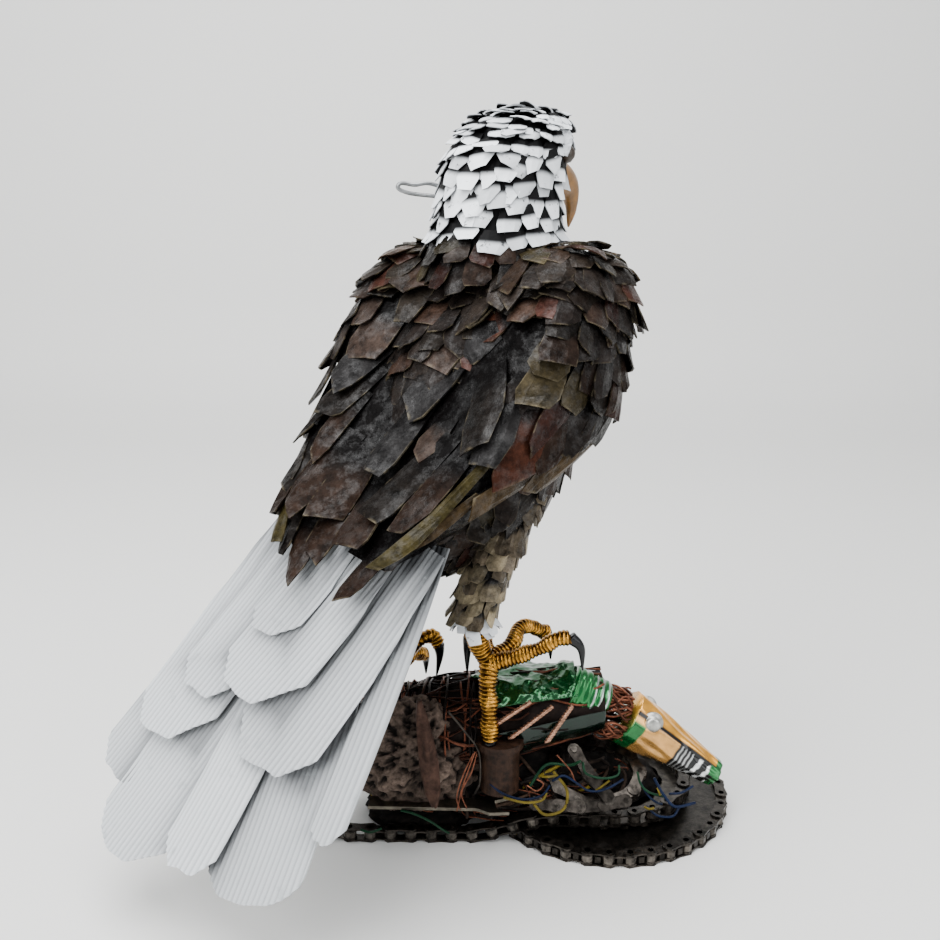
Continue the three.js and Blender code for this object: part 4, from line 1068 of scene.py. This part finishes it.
for side_name, (side, middle, toes, claws) in FEET_PLANS.items():
    mirror = np.array([side, 1, 1])
    ankle_top = mirror * (ANKLE + [0, 0, 150])
    bend = blend(mirror * (ANKLE + [0, 0, 133]), middle, 0.25)
    limbs = [bound(stood([ankle_top, bend, middle]), SHANK_RADII)]
    for name, toe in toes.items():
        points = [middle, *(middle + mirror * p for p in toe)]
        limbs.append(bound(stood(points), HIND_RADII if name == "hind" else TOE_RADII))
    piece(f"{side_name}_foot_wire", joined(*limbs), GOLD_WIRE, [f"{side_name}_foot"])
    for name, claw in claws.items():
        points = [middle + mirror * toes[name][-1], *(middle + mirror * p for p in claw)]
        radius = CLAW_RADIUS * (1 - np.linspace(0, 1, 20) ** 1.3) + CLAW_TIP
        nail = tubes(smooth(stood(points), 20), radius, 12)
        piece(f"{side_name}_{name}_nail", nail, BLACK_ENAMEL, [f"{side_name}_{name}_claw"])

# Fish

FISH_TAIL_END, FISH_SHOULDER = np.array([-88.0, 10, 48]), np.array([82.0, -3, 84])
COLLAR_FROM, COLLAR_TO = np.array([62.0, -9, 94]), np.array([84.0, -9, 85])
GILL_FROM, GILL_TO, HEAD_TO = np.array([84.0, -4, 76]), np.array([97.0, -4, 72]), np.array([155.0, -4, 33])
FISH_HALF_WIDTH, FISH_HALF_HEIGHT = 32, 27


def spindle(t, angle, proud=0.0):
    """Fish's body: ellipses whose half sizes follow a sine from tail end to shoulder; angle 0 is the top."""
    swell = np.sin(np.pi * (0.12 + 0.66 * np.maximum(t, 1e-3) ** 0.62))
    middle = FISH_TAIL_END + t[..., None] * (FISH_SHOULDER - FISH_TAIL_END)
    y = -np.sin(angle) * (FISH_HALF_WIDTH * swell + proud)
    z = np.cos(angle) * (FISH_HALF_HEIGHT * swell + proud)
    return middle + np.stack([0 * y, y, z], -1)


def folded_can(t_span, angle_span, proud, fold, seed, tint):
    """A crumpled can sheet on part of the spindle, proud by a base and by ridged noise, with a ragged end."""
    t, angle = np.meshgrid(np.linspace(0, 1, 60), np.linspace(*angle_span, 70), indexing="ij")
    ragged = 0.04 * np.sin(5 * angle + seed) + 0.03 * np.sin(13 * angle + 2 * seed)
    t = t_span[0] + (t_span[1] - t_span[0]) * t + ragged * (1 - t)
    ridges = rough(spindle(t, angle), 64, seed, ridged=True)
    return plain(shell(spindle(t, angle, proud + fold * ridges), 0.5, 1), tint)


def fish_core():
    """The dark spindle under the windings, roughened across, with flat ends."""
    rows, columns = 60, 40
    t, angle = np.meshgrid(np.linspace(0, 1, rows), np.arange(columns) * TURN / columns, indexing="ij")
    points = spindle(t, angle, -1.5)
    points = points + rough(points, 14, 3)[..., None] * np.array([0, 0.8, 0.8])
    return plain((points.reshape(-1, 3), rings(rows, columns, -1), {}), "#1d1512")


COPPERS = palette("#3d251c", "#553326", "#6f4231", "#2c1e19", "#221d1b")


def windings(count, t_reach, turns, seed, t_end=1.0):
    """Copper strands on the spindle: each runs t_reach along it and turns round it, wavering in and out."""
    dice, pick = draws(seed, count)
    u = np.linspace(0, 1, 48)[None]
    t = pick(0, t_end - t_reach) + t_reach * u + 0.012 * np.sin(pick(8, 20) * u + pick(0, TURN))
    angle = pick(0, TURN) + turns * TURN * u * np.sign(pick(-1, 1))
    angle = angle + 0.12 * np.sin(pick(4, 14) * u + pick(0, TURN))
    paths = spindle(t, angle, 0.6 + 1.1 * np.sin(pick(3, 17) * u + pick(0, TURN)))
    return tubes(paths, 0.75, 6, COPPERS[dice.integers(0, len(COPPERS), count)])


def cone(start, end, half_start, half_end, t, angle, proud=0.0):
    """A tapered can: ellipses square to the line from start to end; angle 0 is the top, growing to -y."""
    ahead = unit(end - start)
    side = unit(np.cross(ahead, np.array([0, 0, 1.0])))
    up = np.cross(side, ahead)
    half = blend(np.array(half_start, float), np.array(half_end, float), t) + np.asarray(proud)[..., None]
    middle = start + t[..., None] * (end - start)
    level, rise = np.sin(angle) * half[..., 0], np.cos(angle) * half[..., 1]
    return middle + level[..., None] * side + rise[..., None] * up


def can(start, end, half_start, half_end, rows, columns, proud, tint):
    """A closed can: the cone's rings with proud added to the radius, and flat ends."""
    t, angle = np.meshgrid(np.linspace(0, 1, rows), np.arange(columns) * TURN / columns, indexing="ij")
    points = cone(start, end, half_start, half_end, t, angle, proud(t, angle))
    return points.reshape(-1, 3), rings(rows, columns, -1), {"tint": tint(t, angle).reshape(-1, 3)}


COLLAR_RIBS = 5.5


def collar_proud(t, angle):
    """Ribs round the collar as a cosine along it, and three slow dents."""
    return 0.35 * np.cos(t * TURN * COLLAR_RIBS) + 0.6 * np.sin(3 * angle + 4 * t)


def collar_tint(t, _):
    """Green with fine bright rings where the can's lacquer is rubbed off its ribs, in the front half."""
    rib = np.clip(np.cos(t * TURN * COLLAR_RIBS) * 6 - 4.2, 0, 1)
    return blend(linear("#0f6a30"), linear("#b9c2bd"), rib * (t > 0.5))


def head_proud(t, angle):
    """Dents in the head's sheet: two sines that run round it and along it."""
    return 0.5 * np.sin(5 * angle + 7 * t) + 0.4 * np.sin(11 * angle - 9 * t)


def head_tint(t, angle):
    """Amber on top; below it tan, then fine dark lines on silver, black and white blocks, green scraps."""
    amber, tan, green = palette("#f0aa3a", "#d09a52", "#12682f")
    black, silver, white = palette("#121314", "#b4b6b6", "#f2f4f4")
    fold, lines_from, blocks_from = 0.9, 0.5, 0.68
    lines = blend(silver, black, np.sin(t * TURN * 22) > 0.1)
    blocks = blend(black, white, np.sin(t * TURN * 9 + 2 * angle) > 0.35)
    below = blend(tan, green, (t < 0.12) & (angle > 1.25))
    below = blend(below, lines, (t > lines_from) & (t < blocks_from))
    below = blend(below, blocks, t >= blocks_from)
    under = (angle > fold) & (angle < TURN - fold)
    edge = np.abs(np.abs(angle - np.pi) - np.pi + fold) < 0.07
    tint = blend(blend(amber, below, under), black, edge)
    return blend(tint, green, (t > 0.94) | under & (t > 0.88) & (angle < 1.5))


piece("fish_core", fish_core(), RUSTY_TIN, ["fish_body"])
piece("fish_long_strands", windings(90, 0.5, 0.06, 51), OLD_COPPER)
piece("fish_round_strands", windings(46, 0.03, 0.9, 52, 0.57), OLD_COPPER)
piece("fish_back_can", folded_can((0.58, 0.9), (-1.0, 0.9), 6.2, 2.4, 5, "#0b4d24"), CAN_SHEET)
piece("fish_belly_can", folded_can((0.6, 1.0), (1.45, 2.4), 2.5, 0.5, 6, "#041a10"), CAN_SHEET)
collar = can(COLLAR_FROM, COLLAR_TO, (14, 14), (11, 11), 40, 48, collar_proud, collar_tint)
piece("fish_collar_can", collar, CAN_SHEET, ["fish_collar"])


def bristles(count, seed):
    """Short copper wires from the body's end to the back of the head, wavering round a cone."""
    dice, pick = draws(seed, count)
    u = np.linspace(0, 1, 14)[None]
    angle = pick(0, TURN) + 0.25 * np.sin(pick(2, 6) * u + pick(0, TURN))
    proud = pick(-3, 1.5) + 1.2 * np.sin(pick(3, 9) * u + pick(0, TURN))
    paths = cone(GILL_FROM, GILL_TO, (15, 15), (15, 15), -0.2 + 1.2 * u + 0 * angle, angle, proud)
    tones = palette("#6f4231", "#8a5540", "#4a2d22")
    return tubes(paths, 0.7, 6, tones[dice.integers(0, len(tones), count)])


piece("fish_gill_wire", bristles(90, 53), OLD_COPPER, ["fish_gill"])
HEAD_FROM = GILL_TO + (HEAD_TO - GILL_TO) * 0.01
fish_head = can(HEAD_FROM, HEAD_TO, (17, 18), (10, 8), 70, 60, head_proud, head_tint)
piece("fish_head_can", fish_head, CAN_SHEET, ["fish_head"])

BOLT_PROFILE = [(0.01, 0), (7, 0), (7, 1.6), (5.2, 1.7), (5.0, 4.6), (3.4, 5.6), (0.01, 6)]
for side_name, side in (("right", -1), ("left", 1)):
    at = GILL_TO + 0.26 * (HEAD_TO - GILL_TO) + np.array([0, side * 11.0, 11])
    points, faces, _ = turned(BOLT_PROFILE, 24, 0)
    x, y, z = points.T
    points = np.stack([x, side * (z - 1), -side * y], -1) + at
    bolt = plain((points, faces, {}), "#b9b9b4")
    piece(f"fish_{side_name}_eye_bolt", bolt, DULL_STEEL, [f"fish_{side_name}_eye"])

FIN_RODS = [((15, -31, 80), (36, -27, 93)), ((24, -34, 73), (49, -29, 91)), ((46, -33, 70), (61, -28, 91))]
FIN_STRAND = 0.95
for i, rod in enumerate(FIN_RODS):
    line = smooth(rod, 90)
    twist = np.linspace(0, 40, 90)[:, None] + np.array([0, np.pi])[None]
    pair = line[:, None] + FIN_STRAND * np.stack([np.cos(twist), np.sin(twist), 0 * twist], -1)
    fin = plain(tubes(np.moveaxis(pair, 1, 0), FIN_STRAND, 8), "#b58a72")
    piece(f"fin_twist_{i + 1}", fin, OLD_COPPER, [f"fin_rod_{i + 1}"])

# Plinth: chain, rings and scrap

UP = np.array([0.0, 0, 1])
PITCH = 12.7
LINK_END, LINK_WAIST, LINK_GAUGE = 4.3, 3.1, 1.05
INNER_LINK, OUTER_LINK = 2.05, 3.25  # where the plates' near faces lie on one side of the chain's middle
INNER_FAR, OUTER_FAR = -3.05, -4.25  # and their far faces on the other side
ROLLER_RADIUS, ROLLER_HALF = 3.9, 1.95
PIN_RADIUS, PIN_HALF = 1.9, 4.3
CHAIN_HEIGHT = 4.3  # of a chain's middle over the floor
STEEL_TONES = ("#443f3a", "#67615a")  # plates, then rollers and pins


def prism(outline, low, high):
    """A flat outline (n, 2) as a plate between two heights: its points, side quads and two flat faces."""
    n = len(outline)
    points = np.concatenate([np.c_[outline, np.full(n, low)], np.c_[outline, np.full(n, high)]])
    j = np.arange(n)
    j2 = (j + 1) % n
    sides = np.stack([j, j2, j2 + n, j + n], -1).tolist()
    return points, sides, [list(range(n - 1, -1, -1)), list(range(n, 2 * n))]


def chain(pins, up, closed=True):
    """Links between pins: waisted plates in pairs, inside and outside by turns, with a roller on each pin."""
    ahead = np.roll(pins, -1, axis=0) - pins
    if not closed:
        ahead[-1] = ahead[-2]
    along = unit(ahead)
    side = unit(np.cross(up, along))
    lift = np.cross(along, side)
    arc = np.radians([-70, -35, 0, 35, 70])
    right = np.stack([PITCH / 2 + LINK_END * np.cos(arc), LINK_END * np.sin(arc)], -1)
    outline = np.concatenate([right, [[0, LINK_WAIST]], -right, [[0, -LINK_WAIST]]])
    parts = []

    def placed(shape, which, centre, tint):
        points, sides, caps = shape
        n = len(points)
        axes = np.stack([along[which], side[which], lift[which]], 1)
        world = centre[which][:, None] + np.einsum("pk,nkd->npd", points, axes)
        count = len(world)
        faces = repeated(sides, count, n).tolist() + repeated(caps, count, n).tolist()
        parts.append((world.reshape(-1, 3), faces, {"tint": np.repeat(tint[which], n, axis=0)}))

    number = np.arange(len(pins) if closed else len(pins) - 1)
    middle = pins + ahead / 2
    plate_tone, pin_tone = palette(*STEEL_TONES)
    shade = plate_tone * chance.uniform(0.7, 1.35, (len(pins), 1))
    for odd, lows in enumerate(((INNER_LINK, INNER_FAR), (OUTER_LINK, OUTER_FAR))):
        for low in lows:
            placed(prism(outline, low, low + LINK_GAUGE), number[number % 2 == odd], middle, shade)
    circle = np.arange(10) * TURN / 10
    disc = np.stack([np.cos(circle), np.sin(circle)], -1)
    bright = pin_tone * chance.uniform(0.7, 1.3, (len(pins), 1))
    every = np.arange(len(pins))
    placed(prism(disc * ROLLER_RADIUS, -ROLLER_HALF, ROLLER_HALF), every, pins, bright)
    placed(prism(disc * PIN_RADIUS, -PIN_HALF, PIN_HALF), every, pins, bright)
    return joined(*parts)


def pitch_radius(teeth):
    """Radius of the circle on which a number of chain pins lie a pitch apart."""
    return PITCH / 2 / np.sin(np.pi / teeth)


def toothed_ring(teeth, hole, depth, low, high):
    """A flat ring: a circle of teeth outside, a round hole inside, between two heights."""
    columns = teeth * 8
    angle = np.arange(columns) * TURN / columns
    outer = pitch_radius(teeth) + depth * np.clip(1.5 * np.cos(angle * teeth), -1, 1)
    rows = [(outer, low), (outer, high), (hole, high), (hole, low)]
    points = [np.stack([r * np.cos(angle), r * np.sin(angle), 0 * angle + z], -1) for r, z in rows]
    faces = net(len(rows), columns, around=True, along=True)
    return np.concatenate(points) + RING_CENTRE, faces.tolist(), {}


RING_TEETH, SPROCKET_TEETH = 38, 26
RING_HOLE = 20
RING_FLOOR, RING_TOP, SPROCKET_FLOOR, SPROCKET_TOP = 2.2, 6.2, 9.0, 11.0
ring_radius, sprocket_radius = pitch_radius(RING_TEETH), pitch_radius(SPROCKET_TEETH)
ring_angle = np.arange(RING_TEETH) * TURN / RING_TEETH
ring_pins = RING_CENTRE + np.stack(
    [ring_radius * np.cos(ring_angle), ring_radius * np.sin(ring_angle), 0 * ring_angle + CHAIN_HEIGHT], -1
)
piece("ring_chain_links", chain(ring_pins, UP), CHAIN_STEEL, ["chainring_chain"], False)
large_ring = plain(toothed_ring(RING_TEETH, RING_HOLE, -2.6, RING_FLOOR, RING_TOP), "#332f2b")
piece("large_ring_plate", large_ring, CHAIN_STEEL, ["large_chainring"], False)
sprocket = plain(toothed_ring(SPROCKET_TEETH, RING_HOLE, 2.4, SPROCKET_FLOOR, SPROCKET_TOP), "#4a453f")
piece("sprocket_plate", sprocket, CHAIN_STEEL, ["small_sprocket"], False)

SIDE_LOOP_CENTRE, SIDE_LOOP_RADIUS = np.array([-70.0, 19.0, 0]), 46
LONG_CHAIN_PINS, LONG_CHAIN_RISE = 50, 11.4


def long_chain_pins():
    """Pins half round the sprocket, along both sides and half round the left end, sinking to the floor."""
    half = np.linspace(-np.pi / 2, np.pi / 2, 60)
    arc = np.stack([np.cos(half), np.sin(half), 0 * half], -1)
    right = RING_CENTRE + sprocket_radius * arc
    left = SIDE_LOOP_CENTRE - SIDE_LOOP_RADIUS * arc
    pins = even(np.concatenate([right, left]), LONG_CHAIN_PINS, closed=True)
    low, high = RING_CENTRE[0] - ring_radius - 14, RING_CENTRE[0] - 0.7 * sprocket_radius
    share = np.clip((pins[:, 0] - low) / (high - low), 0, 1)
    pins[:, 2] = CHAIN_HEIGHT + LONG_CHAIN_RISE * share**2 * (3 - 2 * share)
    return pins


piece("long_chain_links", chain(long_chain_pins(), UP), CHAIN_STEEL, ["long_chain"], False)

DRAPED_CENTRE, DRAPED_HALF, DRAPED_LINKS = np.array([78, -13, 37.0]), (28, 20.3), 12
DRAPED_TILT = np.radians(34)
DRAPED_UP = np.array([0, -np.sin(DRAPED_TILT), np.cos(DRAPED_TILT)])
DRAPED_ACROSS = np.array([0, np.cos(DRAPED_TILT), np.sin(DRAPED_TILT)])
loop_angle = np.linspace(0, TURN, 200, endpoint=False)[:, None]
draped = DRAPED_HALF[0] * np.cos(loop_angle) * np.array([1.0, 0, 0])
draped = DRAPED_CENTRE + draped + DRAPED_HALF[1] * np.sin(loop_angle) * DRAPED_ACROSS
draped_links = chain(even(draped, DRAPED_LINKS, closed=True), DRAPED_UP)
piece("draped_chain_links", draped_links, CHAIN_STEEL, ["draped_chain"], False)


def lump(centre, half, rows, columns, depth, size, seed, tone, floor=-999):
    """A rough stone: an ellipsoid that swells with slow noise and sinks in pits where fast noise is high;
    painted shade darkens the pits and hollows.

    Where a floor is given, nothing lies below it.
    """
    low = np.linspace(-np.pi / 2 + 0.03, np.pi / 2 - 0.03, rows)[:, None]
    angle = np.arange(columns)[None] * TURN / columns
    ball = np.stack([np.cos(low) * np.cos(angle), np.cos(low) * np.sin(angle), np.sin(low) + 0 * angle], -1)
    points = ball * np.array(half, float)
    swell = rough(points, size, seed)
    pits = np.clip(rough(points, size / 2.6, seed + 1) - 0.1, 0, 1)
    push = depth * (0.7 * swell - 0.9 * pits)
    points = points + unit(points) * push[..., None] + np.array(centre, float)
    points[..., 2] = np.maximum(points[..., 2], floor)
    # Painted shade: darker in the pits and in the hollows between swells
    high = np.clip(0.7 + 0.3 * swell - 1.2 * pits, 0.05, 1.2)[..., None]
    return points.reshape(-1, 3), rings(rows, columns), {"tint": (linear(tone) * high).reshape(-1, 3)}


cinder = lump((-34, -12, 50), (40, 22, 38), 130, 180, 3.2, 20, 21, "#695a50")
piece("cinder_lump", cinder, CINDER, ["slag_lump"])

HEAP_CENTRE, HEAP_HALF = np.array([16.0, 20, 12]), np.array([82.0, 40, 44])
HEAP_FLOOR = 12
# Near-black heap core: dark scrap, with painted shade deep in the tangle
HEAP_BLACK = "#1a1512"


def strands(count, seed, proud, radius, colours, steepest=1.2):
    """Bits of wire over the heap: each wanders round the heap's ellipsoid by slow sines of two angles."""
    dice, pick = draws(seed, count)
    wander = 0.5
    t = np.linspace(0, 1, 22)[None]
    angle = pick(0, TURN) + pick(-0.5, 0.5) * t
    angle = angle + wander * np.sin(pick(2, 7) * t + pick(0, TURN)) * pick(0.2, 0.8)
    low = pick(0.1, steepest) + wander * np.sin(pick(2, 8) * t + pick(0, TURN)) * pick(0.1, 0.6)
    ball = np.stack([np.cos(low) * np.cos(angle), np.cos(low) * np.sin(angle), np.sin(low)], -1)
    reach = 1.0 + proud * np.sin(pick(2, 9) * t + pick(0, TURN)) * pick(0.2, 1)
    paths = HEAP_CENTRE + ball * HEAP_HALF * reach[..., None]
    paths[..., 2] = np.maximum(paths[..., 2], HEAP_FLOOR + 1)
    return tubes(paths, radius, 6, colours[dice.integers(0, len(colours), count)])


heap = joined(
    lump(HEAP_CENTRE + [0, 0, 16], (80, 38, 30), 50, 80, 3.0, 14, 31, HEAP_BLACK, HEAP_FLOOR),
    lump(RING_CENTRE + [0, 0, 6], (38, 34, 20), 40, 60, 2.0, 12, 33, HEAP_BLACK, HEAP_FLOOR),
    lump((-30, 8, 3), (37, 31, 20), 40, 60, 2.4, 10, 34, HEAP_BLACK, 1),
)
piece("heap_core", heap, CINDER, ["scrap_heap"])
dark_wire = strands(90, 41, 0.16, 1.1, palette("#2b2521", "#3a2f28", "#4a3a30", "#1e1b19"), 0.7)
piece("heap_dark_wire", dark_wire, RUSTY_TIN)
copper_wire = strands(40, 42, 0.2, 0.5, palette("#55342a", "#6f4231", "#3a241c"), 0.6)
piece("heap_copper_wire", copper_wire, OLD_COPPER)
covered_wire = strands(9, 43, 0.2, 1.1, palette("#1c3358", "#7d6c22", "#1c4427", "#25272b"))
piece("heap_covered_wire", covered_wire, WIRE_COVER)

# Bits of wire in the heap, by the points they pass: first the three that the solids hold
WIRE_TONES = {
    "blue": "#0a1730",
    "yellow": "#61541a",
    "green": "#10321f",
    "copper": "#8a5540",
    "grey": "#3d3833",
}
WIRES = {
    "yellow": ((38, -42, 34), (45, -44, 28), (56, -43, 31), (58, -40, 42), (50, -36, 52)),
    "green": ((36, -36, 42), (46, -32, 54), (60, -34, 55), (66, -38, 60)),
    "blue": ((112, -30, 44), (118, -33, 34), (125, -34, 27), (138, -30, 27)),
}
LOOSE_WIRES = {
    "blue": [
        [
            (49, -40, 48), (56, -39, 51), (64, -41, 47), (70, -40, 42),
            (77, -38, 40), (84, -40, 44), (92, -38, 48),
        ],
        [(12, -38, 45), (20, -41, 40), (32, -42, 37), (43, -41, 39), (48, -38, 44)],
        [(104, -28, 40), (109, -30, 32), (114, -31, 28), (118, -28, 25)],
        [(108, -32, 26), (114, -34, 21), (124, -32, 19), (129, -28, 23)],
        [(122, -28, 32), (129, -30, 34), (137, -26, 36)],
    ],
    "yellow": [
        [(20, -43, 39), (28, -44, 37), (35, -44, 36), (43, -43, 37), (46, -40, 40)],
        [(76, -36, 39), (80, -37, 43), (84, -36, 46)],
        [(43, -40, 51), (47, -42, 52), (52, -40, 52)],
        [(114, -31, 38), (115, -32, 36), (116, -31, 33)],
        [(106, -34, 27), (109, -35, 26), (112, -34, 26)],
    ],
    "green": [
        [(68, -32, 56), (70, -35, 50), (80, -37, 48), (89, -35, 49), (90, -32, 54)],
        [(102, -28, 47), (104, -30, 40), (109, -31, 35), (119, -28, 30)],
        [(-42, -35, 25), (-34, -37, 24), (-25, -38, 20), (-17, -38, 14), (-13, -36, 10)],
        [(-67, -34, 11), (-61, -35, 10), (-54, -34, 12)],
    ],
    "copper": [
        [(3, -36, 65), (-1, -38, 54), (-5, -38, 41), (-8, -36, 25)],
        [(2, -36, 64), (-4, -38, 51), (-8, -38, 36), (-6, -36, 26)],
        [(4, -36, 64), (1, -38, 53), (-5, -38, 39), (-2, -36, 27)],
        [(52, -34, 62), (60, -38, 54), (63, -38, 47), (68, -36, 42)],
        [(34, -38, 44), (40, -41, 42), (44, -40, 46), (40, -38, 48)],
    ],
    "grey": [[(-13, -33, 90), (-4, -35, 79), (5, -35, 65), (6, -35, 45), (3, -34, 36)]],
}
# Radius, material and colour slot of the loose bits
COVERED = (0.75, WIRE_COVER)
LOOSE_KINDS = {
    "blue": (*COVERED, "blue_wire"),
    "yellow": (*COVERED, "yellow_wire"),
    "green": (*COVERED, "green_wire"),
    "copper": (0.45, OLD_COPPER, "copper"),
    "grey": (0.75, OLD_COPPER, "bare_steel"),
}
for colour, points in WIRES.items():
    strand = plain(tubes(smooth(points, 40), 0.9, 8), WIRE_TONES[colour])
    piece(f"{colour}_covered_wire", strand, WIRE_COVER, [f"{colour}_wire"])
for i, (colour, bits) in enumerate(LOOSE_WIRES.items()):
    radius, material, slot = LOOSE_KINDS[colour]
    paths = np.array([even(smooth(points, 60), 30) for points in bits])
    piece(f"loose_wire_{i + 1}", plain(tubes(paths, radius, 6), WIRE_TONES[colour]), material)

CHAIN_BITS = [
    [(40, -31, 27), (56, -34, 27), (74, -36, 28), (94, -33, 30)],
    [(64, -18, 56), (73, -28, 44), (84, -35, 33)],
]
CHAIN_BITS_UP = np.array([0, -0.8, 0.6])
for i, points in enumerate(CHAIN_BITS):
    line = smooth(points, 60)
    run = np.linalg.norm(np.diff(line, axis=0), axis=1).sum()
    bit = chain(even(line, int(run / PITCH) + 1), CHAIN_BITS_UP, closed=False)
    piece(f"loose_chain_{i + 1}", bit, CHAIN_STEEL, (), False)

# Tin strip, spool and spanner

STRIP_TOP, STRIP_FOOT = np.array([-30.0, -42, 100]), np.array([-21.0, -43, 32])
STRIP_ACROSS = np.array([0.98, 0.05, 0.16])


def tin_strip():
    """A leaf of tin: its half-width runs through a few sizes; it is folded along its middle and waves."""
    v, u = np.meshgrid(np.linspace(-1, 1, 9), np.linspace(0, 1, 30))
    half = np.interp(u, [0, 0.15, 0.6, 0.85, 1], [1.5, 3.6, 6, 5, 2])
    back = 1.5 * np.sin(5 * u) + 3 * np.abs(v) + np.sin(4 * v + 9 * u)
    points = blend(STRIP_TOP, STRIP_FOOT, u) + (v * half)[..., None] * STRIP_ACROSS
    return plain(shell(points + back[..., None] * np.array([0, 1.0, 0]), 1.0, -1), "#46332b")


piece("rusty_strip", tin_strip(), RUSTY_TIN, ["tin_strip"])

SPOOL_FOOT = np.array([18, -28, 37.0])
SPOOL_PROFILE = [(0.01, 0), (12, 0), (12, 28), (14.5, 28.5), (14.5, 33), (6, 33), (5.5, 31), (0.01, 31)]
spool = plain(turned(SPOOL_PROFILE, 28, SPOOL_FOOT), "#33231a")
piece("spool_turning", spool, SPOOL_WOOD, ["wooden_spool"], False)

SPANNER_FROM, SPANNER_TO = np.array([-62.0, -28]), np.array([24.0, -31])
SPANNER_LOW, SPANNER_HIGH = 25, 27


def spanner():
    """A flat open-ended spanner: a straight shank with a jaw at its end, as one outline with a thickness."""
    length = np.linalg.norm(SPANNER_TO - SPANNER_FROM)
    jaw = np.array([(-20, -5.5), (-12, -10), (0, -9), (-8, -4), (-9, 3), (0, 7), (-10, 10), (-20, 5.5)])
    outline = np.concatenate([[(0, -5.5)], jaw + [length, 0], [(0, 5.5)]])
    way = (SPANNER_TO - SPANNER_FROM) / length
    flat = SPANNER_FROM + outline[:, :1] * way + outline[:, 1:] * np.array([-way[1], way[0]])
    points, sides, caps = prism(flat, SPANNER_LOW, SPANNER_HIGH)
    return points, sides + caps, {}


piece("flat_spanner", plain(spanner(), "#716b60"), DULL_STEEL, ["spanner"], False)

# Floor, light and camera


def backdrop():
    """A pale floor that curves up into a wall far behind."""
    run = np.array([-1500, -600, 0, 900, 1150, 1290, 1360, 1400, 1420, 1420, 1420], float)
    rise = np.array([0, 0, 0, 0, 6, 30, 75, 140, 240, 900, 2200], float)
    x = np.linspace(-2600, 2600, 9)
    points = np.stack(np.broadcast_arrays(x[None], run[:, None], rise[:, None]), -1)
    mesh = bpy.data.meshes.new("pale_floor")
    mesh.from_pydata(points.reshape(-1, 3) * MM, [], net(len(run), len(x)).tolist())
    mesh.polygons.foreach_set("use_smooth", np.full(len(mesh.polygons), True))
    mesh.materials.append(finish("pale floor", 0.6, 0.0, "#dcdcda")[0])
    made = bpy.data.objects.new("pale_floor", mesh)
    bpy.context.scene.collection.objects.link(made)


backdrop()


def area_light(name, place, target, size, power):
    """A square soft light at a place, facing a target; its power is in watts."""
    light = bpy.data.lights.new(name, "AREA")
    light.size = size
    light.energy = power
    made = bpy.data.objects.new(name, light)
    made.location = place
    x, y, z = np.array(place) - np.array(target)
    made.rotation_euler = (np.arctan2(np.hypot(x, y), z), 0, np.arctan2(y, x) + np.pi / 2)
    bpy.context.scene.collection.objects.link(made)


# Places in metres
area_light("overhead", (-0.2, -0.2, 1.7), (0, 0, 0.1), 1.6, 62)
area_light("window", (-1.3, -1.1, 1.0), (0, 0, 0.2), 1.2, 44)
area_light("fill", (1.4, -0.9, 0.8), (0, 0, 0.2), 1.2, 16)

world = bpy.data.worlds.new("room")
bpy.context.scene.world = world
world.use_nodes = True
sky = world.node_tree.nodes["Background"].inputs
sky["Color"].default_value = (0.9, 0.92, 0.95, 1)
sky["Strength"].default_value = 0.62

# The camera fitted to the photograph: focal length and frame in pixels, place, angle up from straight down
FOCAL_PIXELS, FRAME_PIXELS, SENSOR = 1000, 940, 36
VIEWPOINT = np.array([0, -575, 373])
VIEW_ANGLE = np.radians(76)
lens = bpy.data.cameras.new("photo_camera")
lens.sensor_width = SENSOR
lens.lens = SENSOR * FOCAL_PIXELS / FRAME_PIXELS
viewer = bpy.data.objects.new("photo_camera", lens)
viewer.location = (VIEWPOINT + SHIFT) * MM
viewer.rotation_euler = (VIEW_ANGLE, 0, 0)
bpy.context.scene.collection.objects.link(viewer)
bpy.context.scene.camera = viewer
